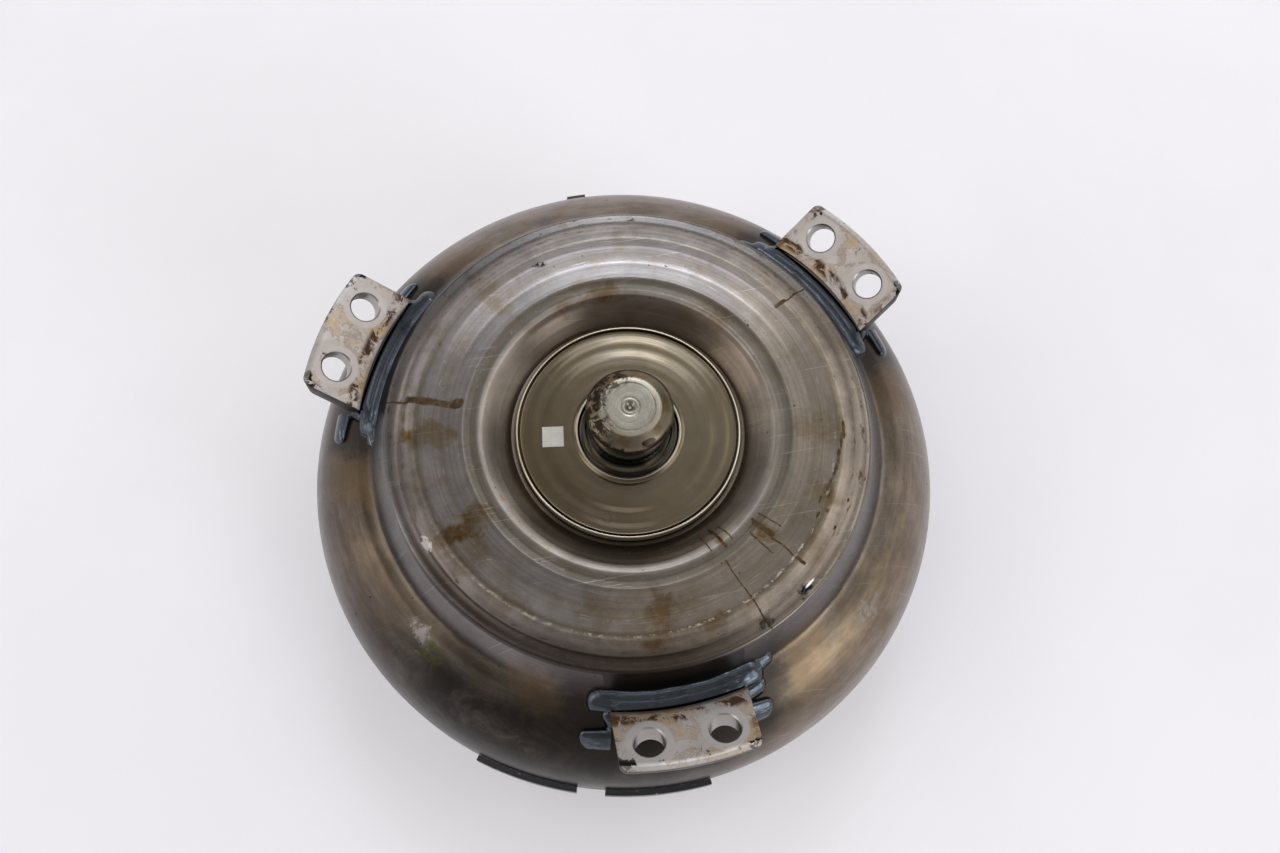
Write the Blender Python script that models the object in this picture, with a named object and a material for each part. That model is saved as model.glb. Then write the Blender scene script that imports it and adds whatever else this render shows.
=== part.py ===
"""Torque converter with lock-up clutch: a welded casing with a crankshaft pilot and drive lugs, and inside it
the impeller, turbine, stator on a one-way clutch, lock-up piston and torsional damper.

Metres, +Z up along the shaft axis. The end face of the impeller hub stands on z = 0 and the pilot points up.
"""

import math

import bmesh
import bpy
from mathutils import Matrix, Vector

# Fits
SEAT = 0.0003
RUN = 0.0018
TIP_CLEARANCE = 0.0012

# Roundness of the turned pieces
SEGMENTS = 36
MIDDLE_SEGMENTS = 32
SMALL_SEGMENTS = 24
HOLE_POINTS = 16
RIVET_POINTS = 8
ROLLER_POINTS = 10
BEAD_SIDES = 6

# Casing
CASE_RADIUS = 0.127
COVER_WALL = 0.004
SHOULDER_RADIUS = 0.046
SKIRT_WELD = 0.0042
IMPELLER_WALL = 0.003
RIM_DROP = 0.008

# Front of the cover, as heights over the bolt holes and widths from the lug welds inwards
FACE_RISE = 0.0065
FACE_WIDTH = 0.0225
FACE_LEAD = 0.0075
STEP_BAND = 0.0073
STEP_RISE = 0.0056
STEP_DRAFT = 0.0034
STEP_FILLET = 0.0022
STEP_ROOT_FILLET = 0.004
STEP_LANDING = 0.006
CREST_RISE = 0.0052
CREST_REACH = 0.007
CREST_FILLET = 0.006
DISH_WIDTH = 0.0045
DISH_DROP = 0.003
DISH_FILLET = 0.003

# Centre disc and pilot stub
DISC_RISE = 0.003
DISC_RIM = 0.0008
DISC_BAND = 0.0042
DISC_HOLLOW = 0.0016
DISC_FLANGE_WALL = 0.003
RECESS_RADIUS = 0.0194
RECESS_DEPTH = 0.003
PILOT_RADIUS = 0.0158
PILOT_RISE = 0.0262
PILOT_CHAMFER = 0.0043
PILOT_NECK = 0.0012
PILOT_NECK_HEIGHT = 0.004

# Drive lugs
LUG_COUNT = 3
LUG_PITCH_RADIUS = 0.115
LUG_HOLE_SPACING = 0.027
LUG_HOLE_RADIUS = 0.0055
LUG_INNER = 0.0112
LUG_OUTER = 0.010
LUG_HALF_WIDTH = 0.0251
LUG_WALL = 0.008
LUG_TILT = math.radians(25)
LUG_CORNER = 0.003
FIRST_LUG = math.radians(-90)
BEAD_RADIUS = 0.0034
BEAD_ROOM = 0.0012
BEAD_OVERRUN = 0.010
SIDE_BEAD_RADIUS = 0.0034
SIDE_BEAD_LENGTH = 0.011
SIDE_BEAD_SETBACK = 0.009
BEAD_END_SHARE = 0.45

# Balance weights, each with its first and last angle round the rim
WEIGHT_WALL = 0.0022
WEIGHT_HEIGHT = 0.008
EDGE_WEIGHTS = ((233.3, 251.3), (256.2, 274.6))
SHOULDER_WEIGHT = (88.0, 91.6)

# Impeller hub
HUB_NECK = 0.044
HUB_RADIUS = 0.024
HUB_BORE = 0.0195
HUB_FLANGE_RADIUS = 0.038
HUB_FLANGE_WALL = 0.0045
HUB_SLOT_WIDTH = 0.011
HUB_SLOT_DEPTH = 0.009
HUB_CHAMFER = 0.0012
HUB_WELD = 0.0035

# Thrust bearings
BEARING_HEIGHT = 0.0034
NEEDLE_STAND = 0.0005

# Stator and its one-way clutch
STATOR_WIDTH = 0.020
RACE_BORE = 0.0215
RACE_RADIUS = 0.031
SPLINE_DEPTH = 0.0014
ROLLER_RADIUS = 0.0032
ROLLER_COUNT = 6
POCKET_COLUMNS = 6
CAM_RAMP = 0.0016
CAM_WALL = 0.0075
WASHER_WALL = 0.0016
STATOR_HUB_WALL = 0.0036
STATOR_BLADE_HEIGHT = 0.011
STATOR_RIM_WALL = 0.003
STATOR_BLADES = 13
STATOR_BLADE_WALL = 0.0042
STATOR_SWEEP = math.radians(14)

# Blade wheels
CORE_GAP = 0.0032
CORE_HALF_WIDTH = 0.0145
CORE_HALF_HEIGHT = 0.010
CORE_WALL = 0.0014
CORE_SPLIT = 0.001
BLADE_WALL = 0.0013
BLADE_STEPS = 4
CORE_BLADE_END = math.radians(150)
TIP_BLADE_END = math.radians(126)
IMPELLER_DEPTH = 0.030
IMPELLER_BLADES = 24
IMPELLER_SWEEP = math.radians(-16)
TURBINE_DEPTH = 0.026
TURBINE_WALL = 0.002
TURBINE_BLADES = 22
TURBINE_SWEEP = math.radians(34)

# Turbine hub
TURBINE_BORE = 0.014
TURBINE_BOSS = 0.022
TURBINE_FLANGE_RADIUS = 0.044
TURBINE_FLANGE_WALL = 0.005
SEAL_SIZE = 0.0022

# Damper
SPRING_COUNT = 4
SPRING_RADIUS = 0.0075
SPRING_WIRE = 0.0015
SPRING_LENGTH = 0.048
SPRING_TURNS = 5
SPRING_TURN_POINTS = 8
DAMPER_GAP = 0.0025
DRIVEN_WALL = 0.003
DRIVE_WALL = 0.002
DRIVE_SPACING = 0.0011
DRIVE_WEB = 0.002
DRIVE_RIVET_RADIUS = 0.002
DRIVE_RIVET_MARGIN = 0.004
DRIVE_RIVET_HEAD = 0.0013
DRIVE_RIVET_HEAD_RADIUS = 0.0034
DRIVE_RIM_STEPS = 6

# Lock-up piston
PISTON_WALL = 0.003
PISTON_DROP = 0.014
PISTON_LIP = 0.006
PISTON_LIP_WALL = 0.0035
PISTON_INSET = 0.002
PISTON_TONGUE = 0.0084
PISTON_TONGUE_WALL = 0.003
LINING_WALL = 0.0012
LINING_MARGIN = 0.002
LOCKUP_TRAVEL = 0.0015

# Heights along the axis, stacked up from the hub's end face
SHELL_FLOOR = HUB_NECK + IMPELLER_WALL
HUB_FLANGE_Z = SHELL_FLOOR + SEAT
REAR_BEARING_Z = HUB_FLANGE_Z + HUB_FLANGE_WALL + SEAT
STATOR_Z = REAR_BEARING_Z + BEARING_HEIGHT + SEAT
MIDDLE_Z = STATOR_Z + STATOR_WIDTH / 2
MIDDLE_BEARING_Z = STATOR_Z + STATOR_WIDTH + SEAT
TURBINE_HUB_Z = MIDDLE_BEARING_Z + BEARING_HEIGHT + SEAT
TURBINE_SEAT_Z = TURBINE_HUB_Z + TURBINE_FLANGE_WALL + SEAT
TURBINE_TOP_Z = MIDDLE_Z + CORE_SPLIT + TURBINE_DEPTH + TURBINE_WALL
DAMPER_Z = TURBINE_TOP_Z + DAMPER_GAP + SPRING_RADIUS
DRIVE_LIFT = DRIVEN_WALL / 2 + DRIVE_SPACING + DRIVE_WALL / 2
DRIVE_TOP_Z = DAMPER_Z + DRIVE_LIFT + DRIVE_WALL / 2
PISTON_Z = DAMPER_Z + SPRING_RADIUS + DAMPER_GAP
LINING_Z = PISTON_Z + PISTON_WALL + SEAT
FACE_Z = LINING_Z + LINING_WALL + LOCKUP_TRAVEL + SEAT + COVER_WALL
BOLT_Z = FACE_Z - FACE_RISE
DISH_Z = BOLT_Z - DISH_DROP
DISC_FLANGE_Z = DISH_Z - COVER_WALL - SEAT
DISC_BOTTOM_Z = DISC_FLANGE_Z - DISC_FLANGE_WALL
TURBINE_HUB_TOP_Z = DISC_BOTTOM_Z - SEAT - BEARING_HEIGHT - SEAT
SKIRT_Z = MIDDLE_Z - RIM_DROP
PISTON_FLAT_Z = PISTON_Z - PISTON_DROP
SEAL_Z = PISTON_FLAT_Z - PISTON_LIP / 2

# Radii that follow from the fits
STEP_RADIUS = LUG_PITCH_RADIUS - LUG_INNER - 2 * SEAT - 2 * BEAD_RADIUS - BEAD_ROOM - STEP_DRAFT
FACE_OUTER = STEP_RADIUS - STEP_BAND
FACE_INNER = FACE_OUTER - FACE_WIDTH
CREST_RADIUS = FACE_INNER - FACE_LEAD
COVER_BORE = CREST_RADIUS - CREST_REACH - DISH_WIDTH
DISC_RADIUS = COVER_BORE - SEAT
SKIRT_BORE = CASE_RADIUS - COVER_WALL
IMPELLER_INSIDE = SKIRT_BORE - SEAT - IMPELLER_WALL
TURBINE_INSIDE = IMPELLER_INSIDE - RUN - TURBINE_WALL
ROLLER_PITCH = RACE_RADIUS + SEAT + ROLLER_RADIUS
CAM_RADIUS = ROLLER_PITCH + ROLLER_RADIUS + SEAT
CAM_OUTSIDE = CAM_RADIUS + CAM_WALL
STATOR_BORE = (CAM_OUTSIDE + SEAT) / math.cos(math.pi / STATOR_BLADES)
STATOR_HUB = STATOR_BORE + STATOR_HUB_WALL
STATOR_BLADE_TIP = STATOR_HUB + STATOR_BLADE_HEIGHT
STATOR_RADIUS = STATOR_BLADE_TIP + STATOR_RIM_WALL
TORUS_RADIUS = STATOR_RADIUS + CORE_GAP + CORE_HALF_WIDTH
PISTON_SLOPE_START = FACE_INNER - PISTON_INSET
PISTON_SLOPE_END = PISTON_SLOPE_START - PISTON_DROP
PISTON_RADIUS = STEP_RADIUS - COVER_WALL - RUN
PISTON_BORE = TURBINE_BOSS + 2 * SEAT
DRIVE_RADIUS = PISTON_RADIUS
DRIVE_BORE = PISTON_SLOPE_START - (PISTON_Z - DRIVE_TOP_Z) + RUN
SPRING_ARM = DRIVE_BORE + DRIVE_WEB + SEAT + SPRING_RADIUS
DRIVEN_SLANT = math.sqrt(2) * (DRIVEN_WALL + RUN)
DRIVEN_FLAT = PISTON_SLOPE_START - (PISTON_Z - DAMPER_Z) - DRIVEN_WALL / 2 + DRIVEN_SLANT
DRIVE_RIVET_PITCH = DRIVE_RADIUS - DRIVE_RIVET_MARGIN
DRIVEN_RADIUS = DRIVE_RIVET_PITCH - DRIVE_RIVET_RADIUS - 2 * SEAT
DRIVEN_BORE = TURBINE_BOSS + SEAT

# The lug's lower inner corners, and the shoulder that carries them
LUG_HOLE_LINE = math.sqrt(LUG_PITCH_RADIUS**2 - (LUG_HOLE_SPACING / 2) ** 2)
LUG_CORNER_LINE = math.sqrt((LUG_PITCH_RADIUS - LUG_INNER) ** 2 - LUG_HALF_WIDTH**2)
LUG_EDGE_RADIUS = math.hypot(LUG_CORNER_LINE + LUG_WALL * math.sin(LUG_TILT), LUG_HALF_WIDTH)
LUG_EDGE_Z = BOLT_Z - (LUG_HOLE_LINE - LUG_CORNER_LINE) * math.tan(LUG_TILT) - LUG_WALL * math.cos(LUG_TILT)
SHOULDER_CENTRE = CASE_RADIUS - SHOULDER_RADIUS
SHOULDER_Z = LUG_EDGE_Z - SEAT - math.sqrt(SHOULDER_RADIUS**2 - (LUG_EDGE_RADIUS - SHOULDER_CENTRE) ** 2)

SURFACES = {
    "pressed_steel": ((0.36, 0.33, 0.29, 1), 0.38, 1.0),
    "turned_steel": ((0.45, 0.41, 0.34, 1), 0.32, 1.0),
    "plate_steel": ((0.52, 0.48, 0.46, 1), 0.45, 1.0),
    "weld_metal": ((0.22, 0.25, 0.29, 1), 0.42, 1.0),
    "black_strip": ((0.03, 0.03, 0.035, 1), 0.5, 0.3),
    "sheet_steel": ((0.42, 0.41, 0.39, 1), 0.4, 1.0),
    "bearing_steel": ((0.6, 0.6, 0.61, 1), 0.22, 1.0),
    "cast_aluminium": ((0.68, 0.68, 0.67, 1), 0.5, 1.0),
    "spring_steel": ((0.16, 0.16, 0.18, 1), 0.35, 1.0),
    "friction_paper": ((0.16, 0.11, 0.07, 1), 0.9, 0.0),
    "seal_rubber": ((0.03, 0.03, 0.03, 1), 0.7, 0.0),
}


def clear_scene():
    for old in list(bpy.data.objects):
        bpy.data.objects.remove(old, do_unlink=True)


def make_material(name):
    colour, roughness, metallic = SURFACES[name]
    material = bpy.data.materials.new(name)
    material.use_nodes = True
    shader = material.node_tree.nodes["Principled BSDF"]
    shader.inputs["Base Color"].default_value = colour
    shader.inputs["Roughness"].default_value = roughness
    shader.inputs["Metallic"].default_value = metallic
    return material


def make_axis(name, height):
    """An empty on the shaft axis that carries the pieces turning or sliding together."""
    axis = bpy.data.objects.new(name, None)
    axis.empty_display_size = CASE_RADIUS / 4
    bpy.context.collection.objects.link(axis)
    axis.location.z = height
    bpy.context.view_layer.update()
    return axis


def place(name, data, material, body, matrix=None):
    """Links a mesh or curve as a piece on its body, with world placement given by the matrix."""
    piece = bpy.data.objects.new(name, data)
    if not data.materials:
        data.materials.append(material)
    bpy.context.collection.objects.link(piece)
    piece.parent = body
    piece.matrix_parent_inverse = body.matrix_world.inverted()
    piece.matrix_basis = matrix if matrix else Matrix.Identity(4)
    return piece


def mesh_from(bm, name):
    bmesh.ops.recalc_face_normals(bm, faces=bm.faces)
    mesh = bpy.data.meshes.new(name)
    bm.to_mesh(mesh)
    bm.free()
    mesh.shade_smooth()
    mesh.set_sharp_from_angle(angle=math.radians(32))
    return mesh


def turned_mesh(name, outline, segments=SEGMENTS, reshape=None):
    """Spins an outline of (radius, height) points round the axis. One that starts on the axis is open there.

    reshape gets a point's radius, height and column number and returns a new radius and height.
    """
    bm = bmesh.new()
    points = [bm.verts.new((radius, 0, height)) for radius, height in outline]
    ends = points[1:] + points[:1] if outline[0][0] > 0 else points[1:]
    edges = [bm.edges.new(pair) for pair in zip(points, ends)]
    turn = {"cent": (0, 0, 0), "axis": (0, 0, 1), "angle": math.tau}
    bmesh.ops.spin(bm, geom=points + edges, steps=segments, use_merge=True, **turn)
    bmesh.ops.remove_doubles(bm, verts=bm.verts, dist=1e-6)
    if reshape:
        for vert in bm.verts:
            angle = math.atan2(vert.co.y, vert.co.x)
            column = round(angle / math.tau * segments) % segments
            radius, height = reshape(vert.co.xy.length, vert.co.z, column)
            vert.co = (radius * math.cos(angle), radius * math.sin(angle), height)
    return mesh_from(bm, name)


def turned(name, outline, material, body, segments=SEGMENTS, reshape=None):
    return place(name, turned_mesh(name, outline, segments, reshape), material, body)


def arc(centre, radii, start, end, steps):
    """Points of an elliptic arc in the (radius, height) plane, with angles from the outward direction."""
    turns = [start + (end - start) * step / steps for step in range(steps + 1)]
    return [(centre[0] + radii[0] * math.cos(a), centre[1] + radii[1] * math.sin(a)) for a in turns]


def rounded(corners, steps=2):
    """A path through (x, y, fillet radius) corners, with an arc at each corner that has a radius."""
    path = []
    for index, (x, y, fillet) in enumerate(corners):
        if not fillet or index in (0, len(corners) - 1):
            path.append((x, y))
            continue
        here = Vector((x, y))
        back = Vector(corners[index - 1][:2]) - here
        ahead = Vector(corners[index + 1][:2]) - here
        half = back.angle(ahead) / 2
        reach = min(fillet / math.tan(half), 0.48 * back.length, 0.48 * ahead.length)
        radius = reach * math.tan(half)
        centre = here + (back.normalized() + ahead.normalized()).normalized() * radius / math.sin(half)
        first = here + back.normalized() * reach - centre
        turn = first.angle_signed(here + ahead.normalized() * reach - centre)
        for step in range(steps + 1):
            spoke = first.copy()
            spoke.rotate(Matrix.Rotation(-turn * step / steps, 2))
            path.append(tuple(centre + spoke))
    return path


def offset(path, distance):
    """The path moved to the left of its own direction."""
    moved = []
    for index, point in enumerate(path):
        here = Vector(point[:2])
        sides = []
        if index:
            sides.append((here - Vector(path[index - 1][:2])).normalized())
        if index < len(path) - 1:
            sides.append((Vector(path[index + 1][:2]) - here).normalized())
        normals = [Vector((-side.y, side.x)) for side in sides]
        mean = sum(normals, Vector((0, 0))).normalized()
        moved.append(tuple(here + mean * distance / mean.dot(normals[0])) + tuple(point[2:]))
    return moved


def circle(centre_x, centre_y, radius, points):
    turns = [math.tau * step / points for step in range(points)]
    return [(centre_x + radius * math.cos(a), centre_y + radius * math.sin(a)) for a in turns]


def turn_outline(outline, angle):
    cos, sin = math.cos(angle), math.sin(angle)
    return [(x * cos - y * sin, x * sin + y * cos) for x, y in outline]


def plate_curve(name, outlines, wall):
    """A flat plate with holes: a filled curve extruded evenly to both sides of its plane."""
    curve = bpy.data.curves.new(name, "CURVE")
    curve.dimensions = "2D"
    curve.fill_mode = "BOTH"
    curve.extrude = wall / 2
    for outline in outlines:
        spline = curve.splines.new("POLY")
        spline.points.add(len(outline) - 1)
        for point, (x, y) in zip(spline.points, outline):
            point.co = (x, y, 0, 1)
        spline.use_cyclic_u = True
    return curve


def cut(piece, name, cutter_mesh, matrix):
    """Takes a closed cutter away from a piece."""
    cutter = place(name, cutter_mesh, piece.data.materials[0], piece.parent, matrix)
    cutter.hide_render = True
    cutter.display_type = "WIRE"
    modifier = piece.modifiers.new(name, "BOOLEAN")
    modifier.operation = "DIFFERENCE"
    modifier.solver = "EXACT"
    modifier.object = cutter


def box_mesh(name, size):
    bm = bmesh.new()
    bmesh.ops.create_cube(bm, size=1, matrix=Matrix.Diagonal((*size, 1)))
    return mesh_from(bm, name)


def swept_mesh(name, rings):
    """Joins rings of points, each with the same number, into a closed tube with flat ends."""
    bm = bmesh.new()
    rows = [[bm.verts.new(point) for point in ring] for ring in rings]
    count = len(rows[0])
    for near, far in zip(rows, rows[1:]):
        for index in range(count):
            after = (index + 1) % count
            bm.faces.new((near[index], near[after], far[after], far[index]))
    bm.faces.new(rows[0])
    bm.faces.new(rows[-1])
    return mesh_from(bm, name)


def shoulder_height(radius, lift=0):
    """Height of the cover's shoulder, or of a line that stays the given distance off it."""
    return SHOULDER_Z + math.sqrt((SHOULDER_RADIUS + lift) ** 2 - (radius - SHOULDER_CENTRE) ** 2)


def polar(radius, angle, height):
    return Vector((radius * math.cos(angle), radius * math.sin(angle), height))


def cover_outline():
    """The cover's section: dished middle, ring face, step, round shoulder and skirt."""
    root_radius = STEP_RADIUS + STEP_DRAFT
    landing_radius = root_radius + STEP_LANDING
    landing = math.acos((landing_radius - SHOULDER_CENTRE) / SHOULDER_RADIUS)
    front = [
        (COVER_BORE, DISH_Z, 0),
        (COVER_BORE + DISH_WIDTH, DISH_Z, DISH_FILLET),
        (CREST_RADIUS, BOLT_Z + CREST_RISE, CREST_FILLET),
        (FACE_INNER, FACE_Z, 0),
        (FACE_OUTER, FACE_Z, 0),
        (STEP_RADIUS, BOLT_Z + STEP_RISE, STEP_FILLET),
        (root_radius, shoulder_height(root_radius), STEP_ROOT_FILLET),
        (landing_radius, shoulder_height(landing_radius), 0),
    ]
    centre = (SHOULDER_CENTRE, SHOULDER_Z)
    inside_radius = SHOULDER_RADIUS - COVER_WALL
    outside = rounded(front)[:-1]
    outside += arc(centre, (SHOULDER_RADIUS, SHOULDER_RADIUS), landing, 0, 5) + [(CASE_RADIUS, SKIRT_Z)]
    inside = [corner[:2] for corner in offset(front, -COVER_WALL)[:-1]]
    inside += arc(centre, (inside_radius, inside_radius), landing, 0, 3) + [(SKIRT_BORE, SKIRT_Z)]
    return outside + inside[::-1]


def make_cover(surfaces, casing):
    turned("front_cover", cover_outline(), surfaces["pressed_steel"], casing)
    rim_z = BOLT_Z + DISC_RISE
    hollow_z = rim_z - DISC_HOLLOW
    disc = [
        (RECESS_RADIUS, hollow_z),
        (DISC_RADIUS - DISC_BAND, hollow_z),
        (DISC_RADIUS - DISC_RIM, rim_z),
        (DISC_RADIUS, rim_z),
        (DISC_RADIUS, DISC_FLANGE_Z),
        (PISTON_SLOPE_END, DISC_FLANGE_Z),
        (PISTON_SLOPE_END, DISC_BOTTOM_Z),
        (PILOT_RADIUS + SEAT, DISC_BOTTOM_Z),
        (PILOT_RADIUS + SEAT, hollow_z - RECESS_DEPTH),
        (RECESS_RADIUS, hollow_z - RECESS_DEPTH),
    ]
    turned("centre_disc", disc, surfaces["turned_steel"], casing, MIDDLE_SEGMENTS)
    top_z = BOLT_Z + PILOT_RISE
    neck_z = hollow_z + PILOT_NECK_HEIGHT
    pilot = [
        (0, top_z),
        (PILOT_RADIUS - PILOT_CHAMFER, top_z),
        (PILOT_RADIUS, top_z - PILOT_CHAMFER),
        (PILOT_RADIUS, neck_z + PILOT_NECK),
        (PILOT_RADIUS - PILOT_NECK, neck_z),
        (PILOT_RADIUS - PILOT_NECK, hollow_z - RECESS_DEPTH + PILOT_NECK),
        (PILOT_RADIUS, hollow_z - RECESS_DEPTH),
        (PILOT_RADIUS, DISC_BOTTOM_Z),
        (0, DISC_BOTTOM_Z),
    ]
    turned("pilot_stub", pilot, surfaces["turned_steel"], casing, MIDDLE_SEGMENTS)


def lug_outline():
    """A lug in its own plane: x outward from the hole line, y along it, edges curved round the shaft axis."""
    slope = math.cos(LUG_TILT)
    inner = LUG_PITCH_RADIUS - LUG_INNER
    outer = LUG_PITCH_RADIUS + LUG_OUTER
    rows = [LUG_HALF_WIDTH * step / 2 for step in range(-2, 3)]
    edge = [((math.sqrt(inner**2 - y * y) - LUG_HOLE_LINE) / slope, y, 0) for y in rows]
    far_edge = [((math.sqrt(outer**2 - y * y) - LUG_HOLE_LINE) / slope, y, 0) for y in reversed(rows)]
    far_edge[0] = (*far_edge[0][:2], LUG_CORNER)
    far_edge[-1] = (*far_edge[-1][:2], LUG_CORNER)
    return rounded(edge + far_edge + [edge[0]])[:-1]


def lug_mesh(plate):
    """The lug's plate with its outer edge turned parallel to the shaft axis."""
    blank = bpy.data.objects.new("lug_blank", plate)
    mesh = bpy.data.meshes.new_from_object(blank)
    bpy.data.objects.remove(blank)
    turned_from = LUG_PITCH_RADIUS + LUG_OUTER - 2 * LUG_CORNER
    for vert in mesh.vertices:
        radius = math.hypot(LUG_HOLE_LINE + vert.co.x * math.cos(LUG_TILT), vert.co.y)
        if vert.co.z < 0 and radius > turned_from:
            vert.co.x -= LUG_WALL * math.tan(LUG_TILT)
    return mesh


def make_lugs(surfaces, casing):
    holes = [circle(0, side * LUG_HOLE_SPACING / 2, LUG_HOLE_RADIUS, HOLE_POINTS) for side in (-1, 1)]
    plate = lug_mesh(plate_curve("drive_lug", [lug_outline(), *holes], LUG_WALL))
    tilt = Matrix.Rotation(-LUG_TILT, 4, "Y") @ Matrix.Translation((0, 0, -LUG_WALL / 2))
    for number in range(LUG_COUNT):
        angle = FIRST_LUG + math.tau * number / LUG_COUNT
        stand = Matrix.Rotation(angle, 4, "Z") @ Matrix.Translation((LUG_HOLE_LINE, 0, BOLT_Z))
        place(f"drive_lug_{number + 1}", plate, surfaces["plate_steel"], casing, stand @ tilt)


def bead_mesh(name, path, radius):
    """A weld bead along a path, thinner at both ends."""
    rings = []
    for index, point in enumerate(path):
        before = path[max(index - 1, 0)]
        after = path[min(index + 1, len(path) - 1)]
        along = (after - before).normalized()
        across = along.cross(Vector((0, 0, 1))).normalized()
        up = across.cross(along)
        size = radius * (BEAD_END_SHARE if index in (0, len(path) - 1) else 1)
        turns = [math.tau * (side + 0.5) / BEAD_SIDES for side in range(BEAD_SIDES)]
        rings.append([point + across * size * math.cos(a) + up * size * math.sin(a) for a in turns])
    return swept_mesh(name, rings)


def make_lug_welds(surfaces, casing):
    inner_edge = LUG_PITCH_RADIUS - LUG_INNER
    bead_line = inner_edge - BEAD_RADIUS - 2 * SEAT
    half_turn = math.asin(LUG_HALF_WIDTH / inner_edge) + BEAD_OVERRUN / inner_edge
    steps = [-1, -0.92, -0.7, -0.42, -0.14, 0.14, 0.42, 0.7, 0.92, 1]
    height = shoulder_height(bead_line, BEAD_RADIUS + SEAT)
    long_path = [polar(bead_line, half_turn * step, height) for step in steps]
    long_bead = bead_mesh("lug_weld", long_path, BEAD_RADIUS)
    beads = {}
    side_line = LUG_PITCH_RADIUS - LUG_INNER + SIDE_BEAD_SETBACK
    side_height = shoulder_height(side_line, SIDE_BEAD_RADIUS + SEAT)
    side_start = math.asin((LUG_HALF_WIDTH + 2 * SEAT) / side_line)
    side_turns = [side_start + SIDE_BEAD_LENGTH / side_line * step / 4 for step in range(5)]
    for side, label in ((-1, "left"), (1, "right")):
        path = [polar(side_line, side * turn, side_height) for turn in side_turns]
        beads[label] = bead_mesh(f"side_weld_{label}", path, SIDE_BEAD_RADIUS)
    for number in range(LUG_COUNT):
        turn = Matrix.Rotation(FIRST_LUG + math.tau * number / LUG_COUNT, 4, "Z")
        place(f"lug_weld_{number + 1}", long_bead, surfaces["weld_metal"], casing, turn)
        for label, bead in beads.items():
            place(f"lug_{number + 1}_side_weld_{label}", bead, surfaces["weld_metal"], casing, turn)


def make_weights(surfaces, casing):
    inner = CASE_RADIUS + SEAT
    outer = inner + WEIGHT_WALL
    levels = [(*span, SKIRT_Z + SEAT) for span in EDGE_WEIGHTS] + [(*SHOULDER_WEIGHT, SHOULDER_Z + SEAT)]
    for number, (start, end, low) in enumerate(levels, 1):
        high = low + WEIGHT_HEIGHT
        section = [(inner, low), (outer, low), (outer, high), (inner, high)]
        steps = max(2, round((end - start) / 4))
        turns = [math.radians(start + (end - start) * step / steps) for step in range(steps + 1)]
        strip = swept_mesh("balance_weight", [[polar(r, a, z) for r, z in section] for a in turns])
        place(f"balance_weight_{number}", strip, surfaces["black_strip"], casing)


def make_impeller_casing(surfaces, casing):
    depth = IMPELLER_DEPTH - RIM_DROP
    width = IMPELLER_INSIDE - TORUS_RADIUS
    floor_turn = math.pi - math.asin((SKIRT_Z - SHELL_FLOOR) / depth)
    bowl = arc((TORUS_RADIUS, SKIRT_Z), (width, -depth), 0, floor_turn, 7)
    inside = [(IMPELLER_INSIDE, SHOULDER_Z), *bowl, (HUB_RADIUS + SEAT, SHELL_FLOOR)]
    shell = inside + offset(inside, IMPELLER_WALL)[::-1]
    turned("impeller_shell", shell, surfaces["pressed_steel"], casing)
    weld_top = SKIRT_Z - SEAT
    girth = [(SKIRT_BORE, weld_top), (CASE_RADIUS - SEAT, weld_top), (SKIRT_BORE, weld_top - SKIRT_WELD)]
    turned("casing_weld", girth, surfaces["weld_metal"], casing)
    hub = [
        (HUB_BORE, 0),
        (HUB_RADIUS - HUB_CHAMFER, 0),
        (HUB_RADIUS, HUB_CHAMFER),
        (HUB_RADIUS, HUB_FLANGE_Z),
        (HUB_FLANGE_RADIUS, HUB_FLANGE_Z),
        (HUB_FLANGE_RADIUS, HUB_FLANGE_Z + HUB_FLANGE_WALL),
        (HUB_BORE, HUB_FLANGE_Z + HUB_FLANGE_WALL),
    ]
    neck = turned("impeller_hub", hub, surfaces["turned_steel"], casing, MIDDLE_SEGMENTS)
    slot = box_mesh("pump_drive_slot", (3 * HUB_RADIUS, HUB_SLOT_WIDTH, 2 * HUB_SLOT_DEPTH))
    cut(neck, "pump_drive_slot", slot, Matrix.Identity(4))
    collar = [
        (HUB_RADIUS + SEAT, HUB_NECK - SEAT),
        (HUB_RADIUS + SEAT, HUB_NECK - SEAT - HUB_WELD),
        (HUB_RADIUS + SEAT + HUB_WELD, HUB_NECK - SEAT),
    ]
    turned("hub_weld", collar, surfaces["weld_metal"], casing, SMALL_SEGMENTS)


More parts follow.
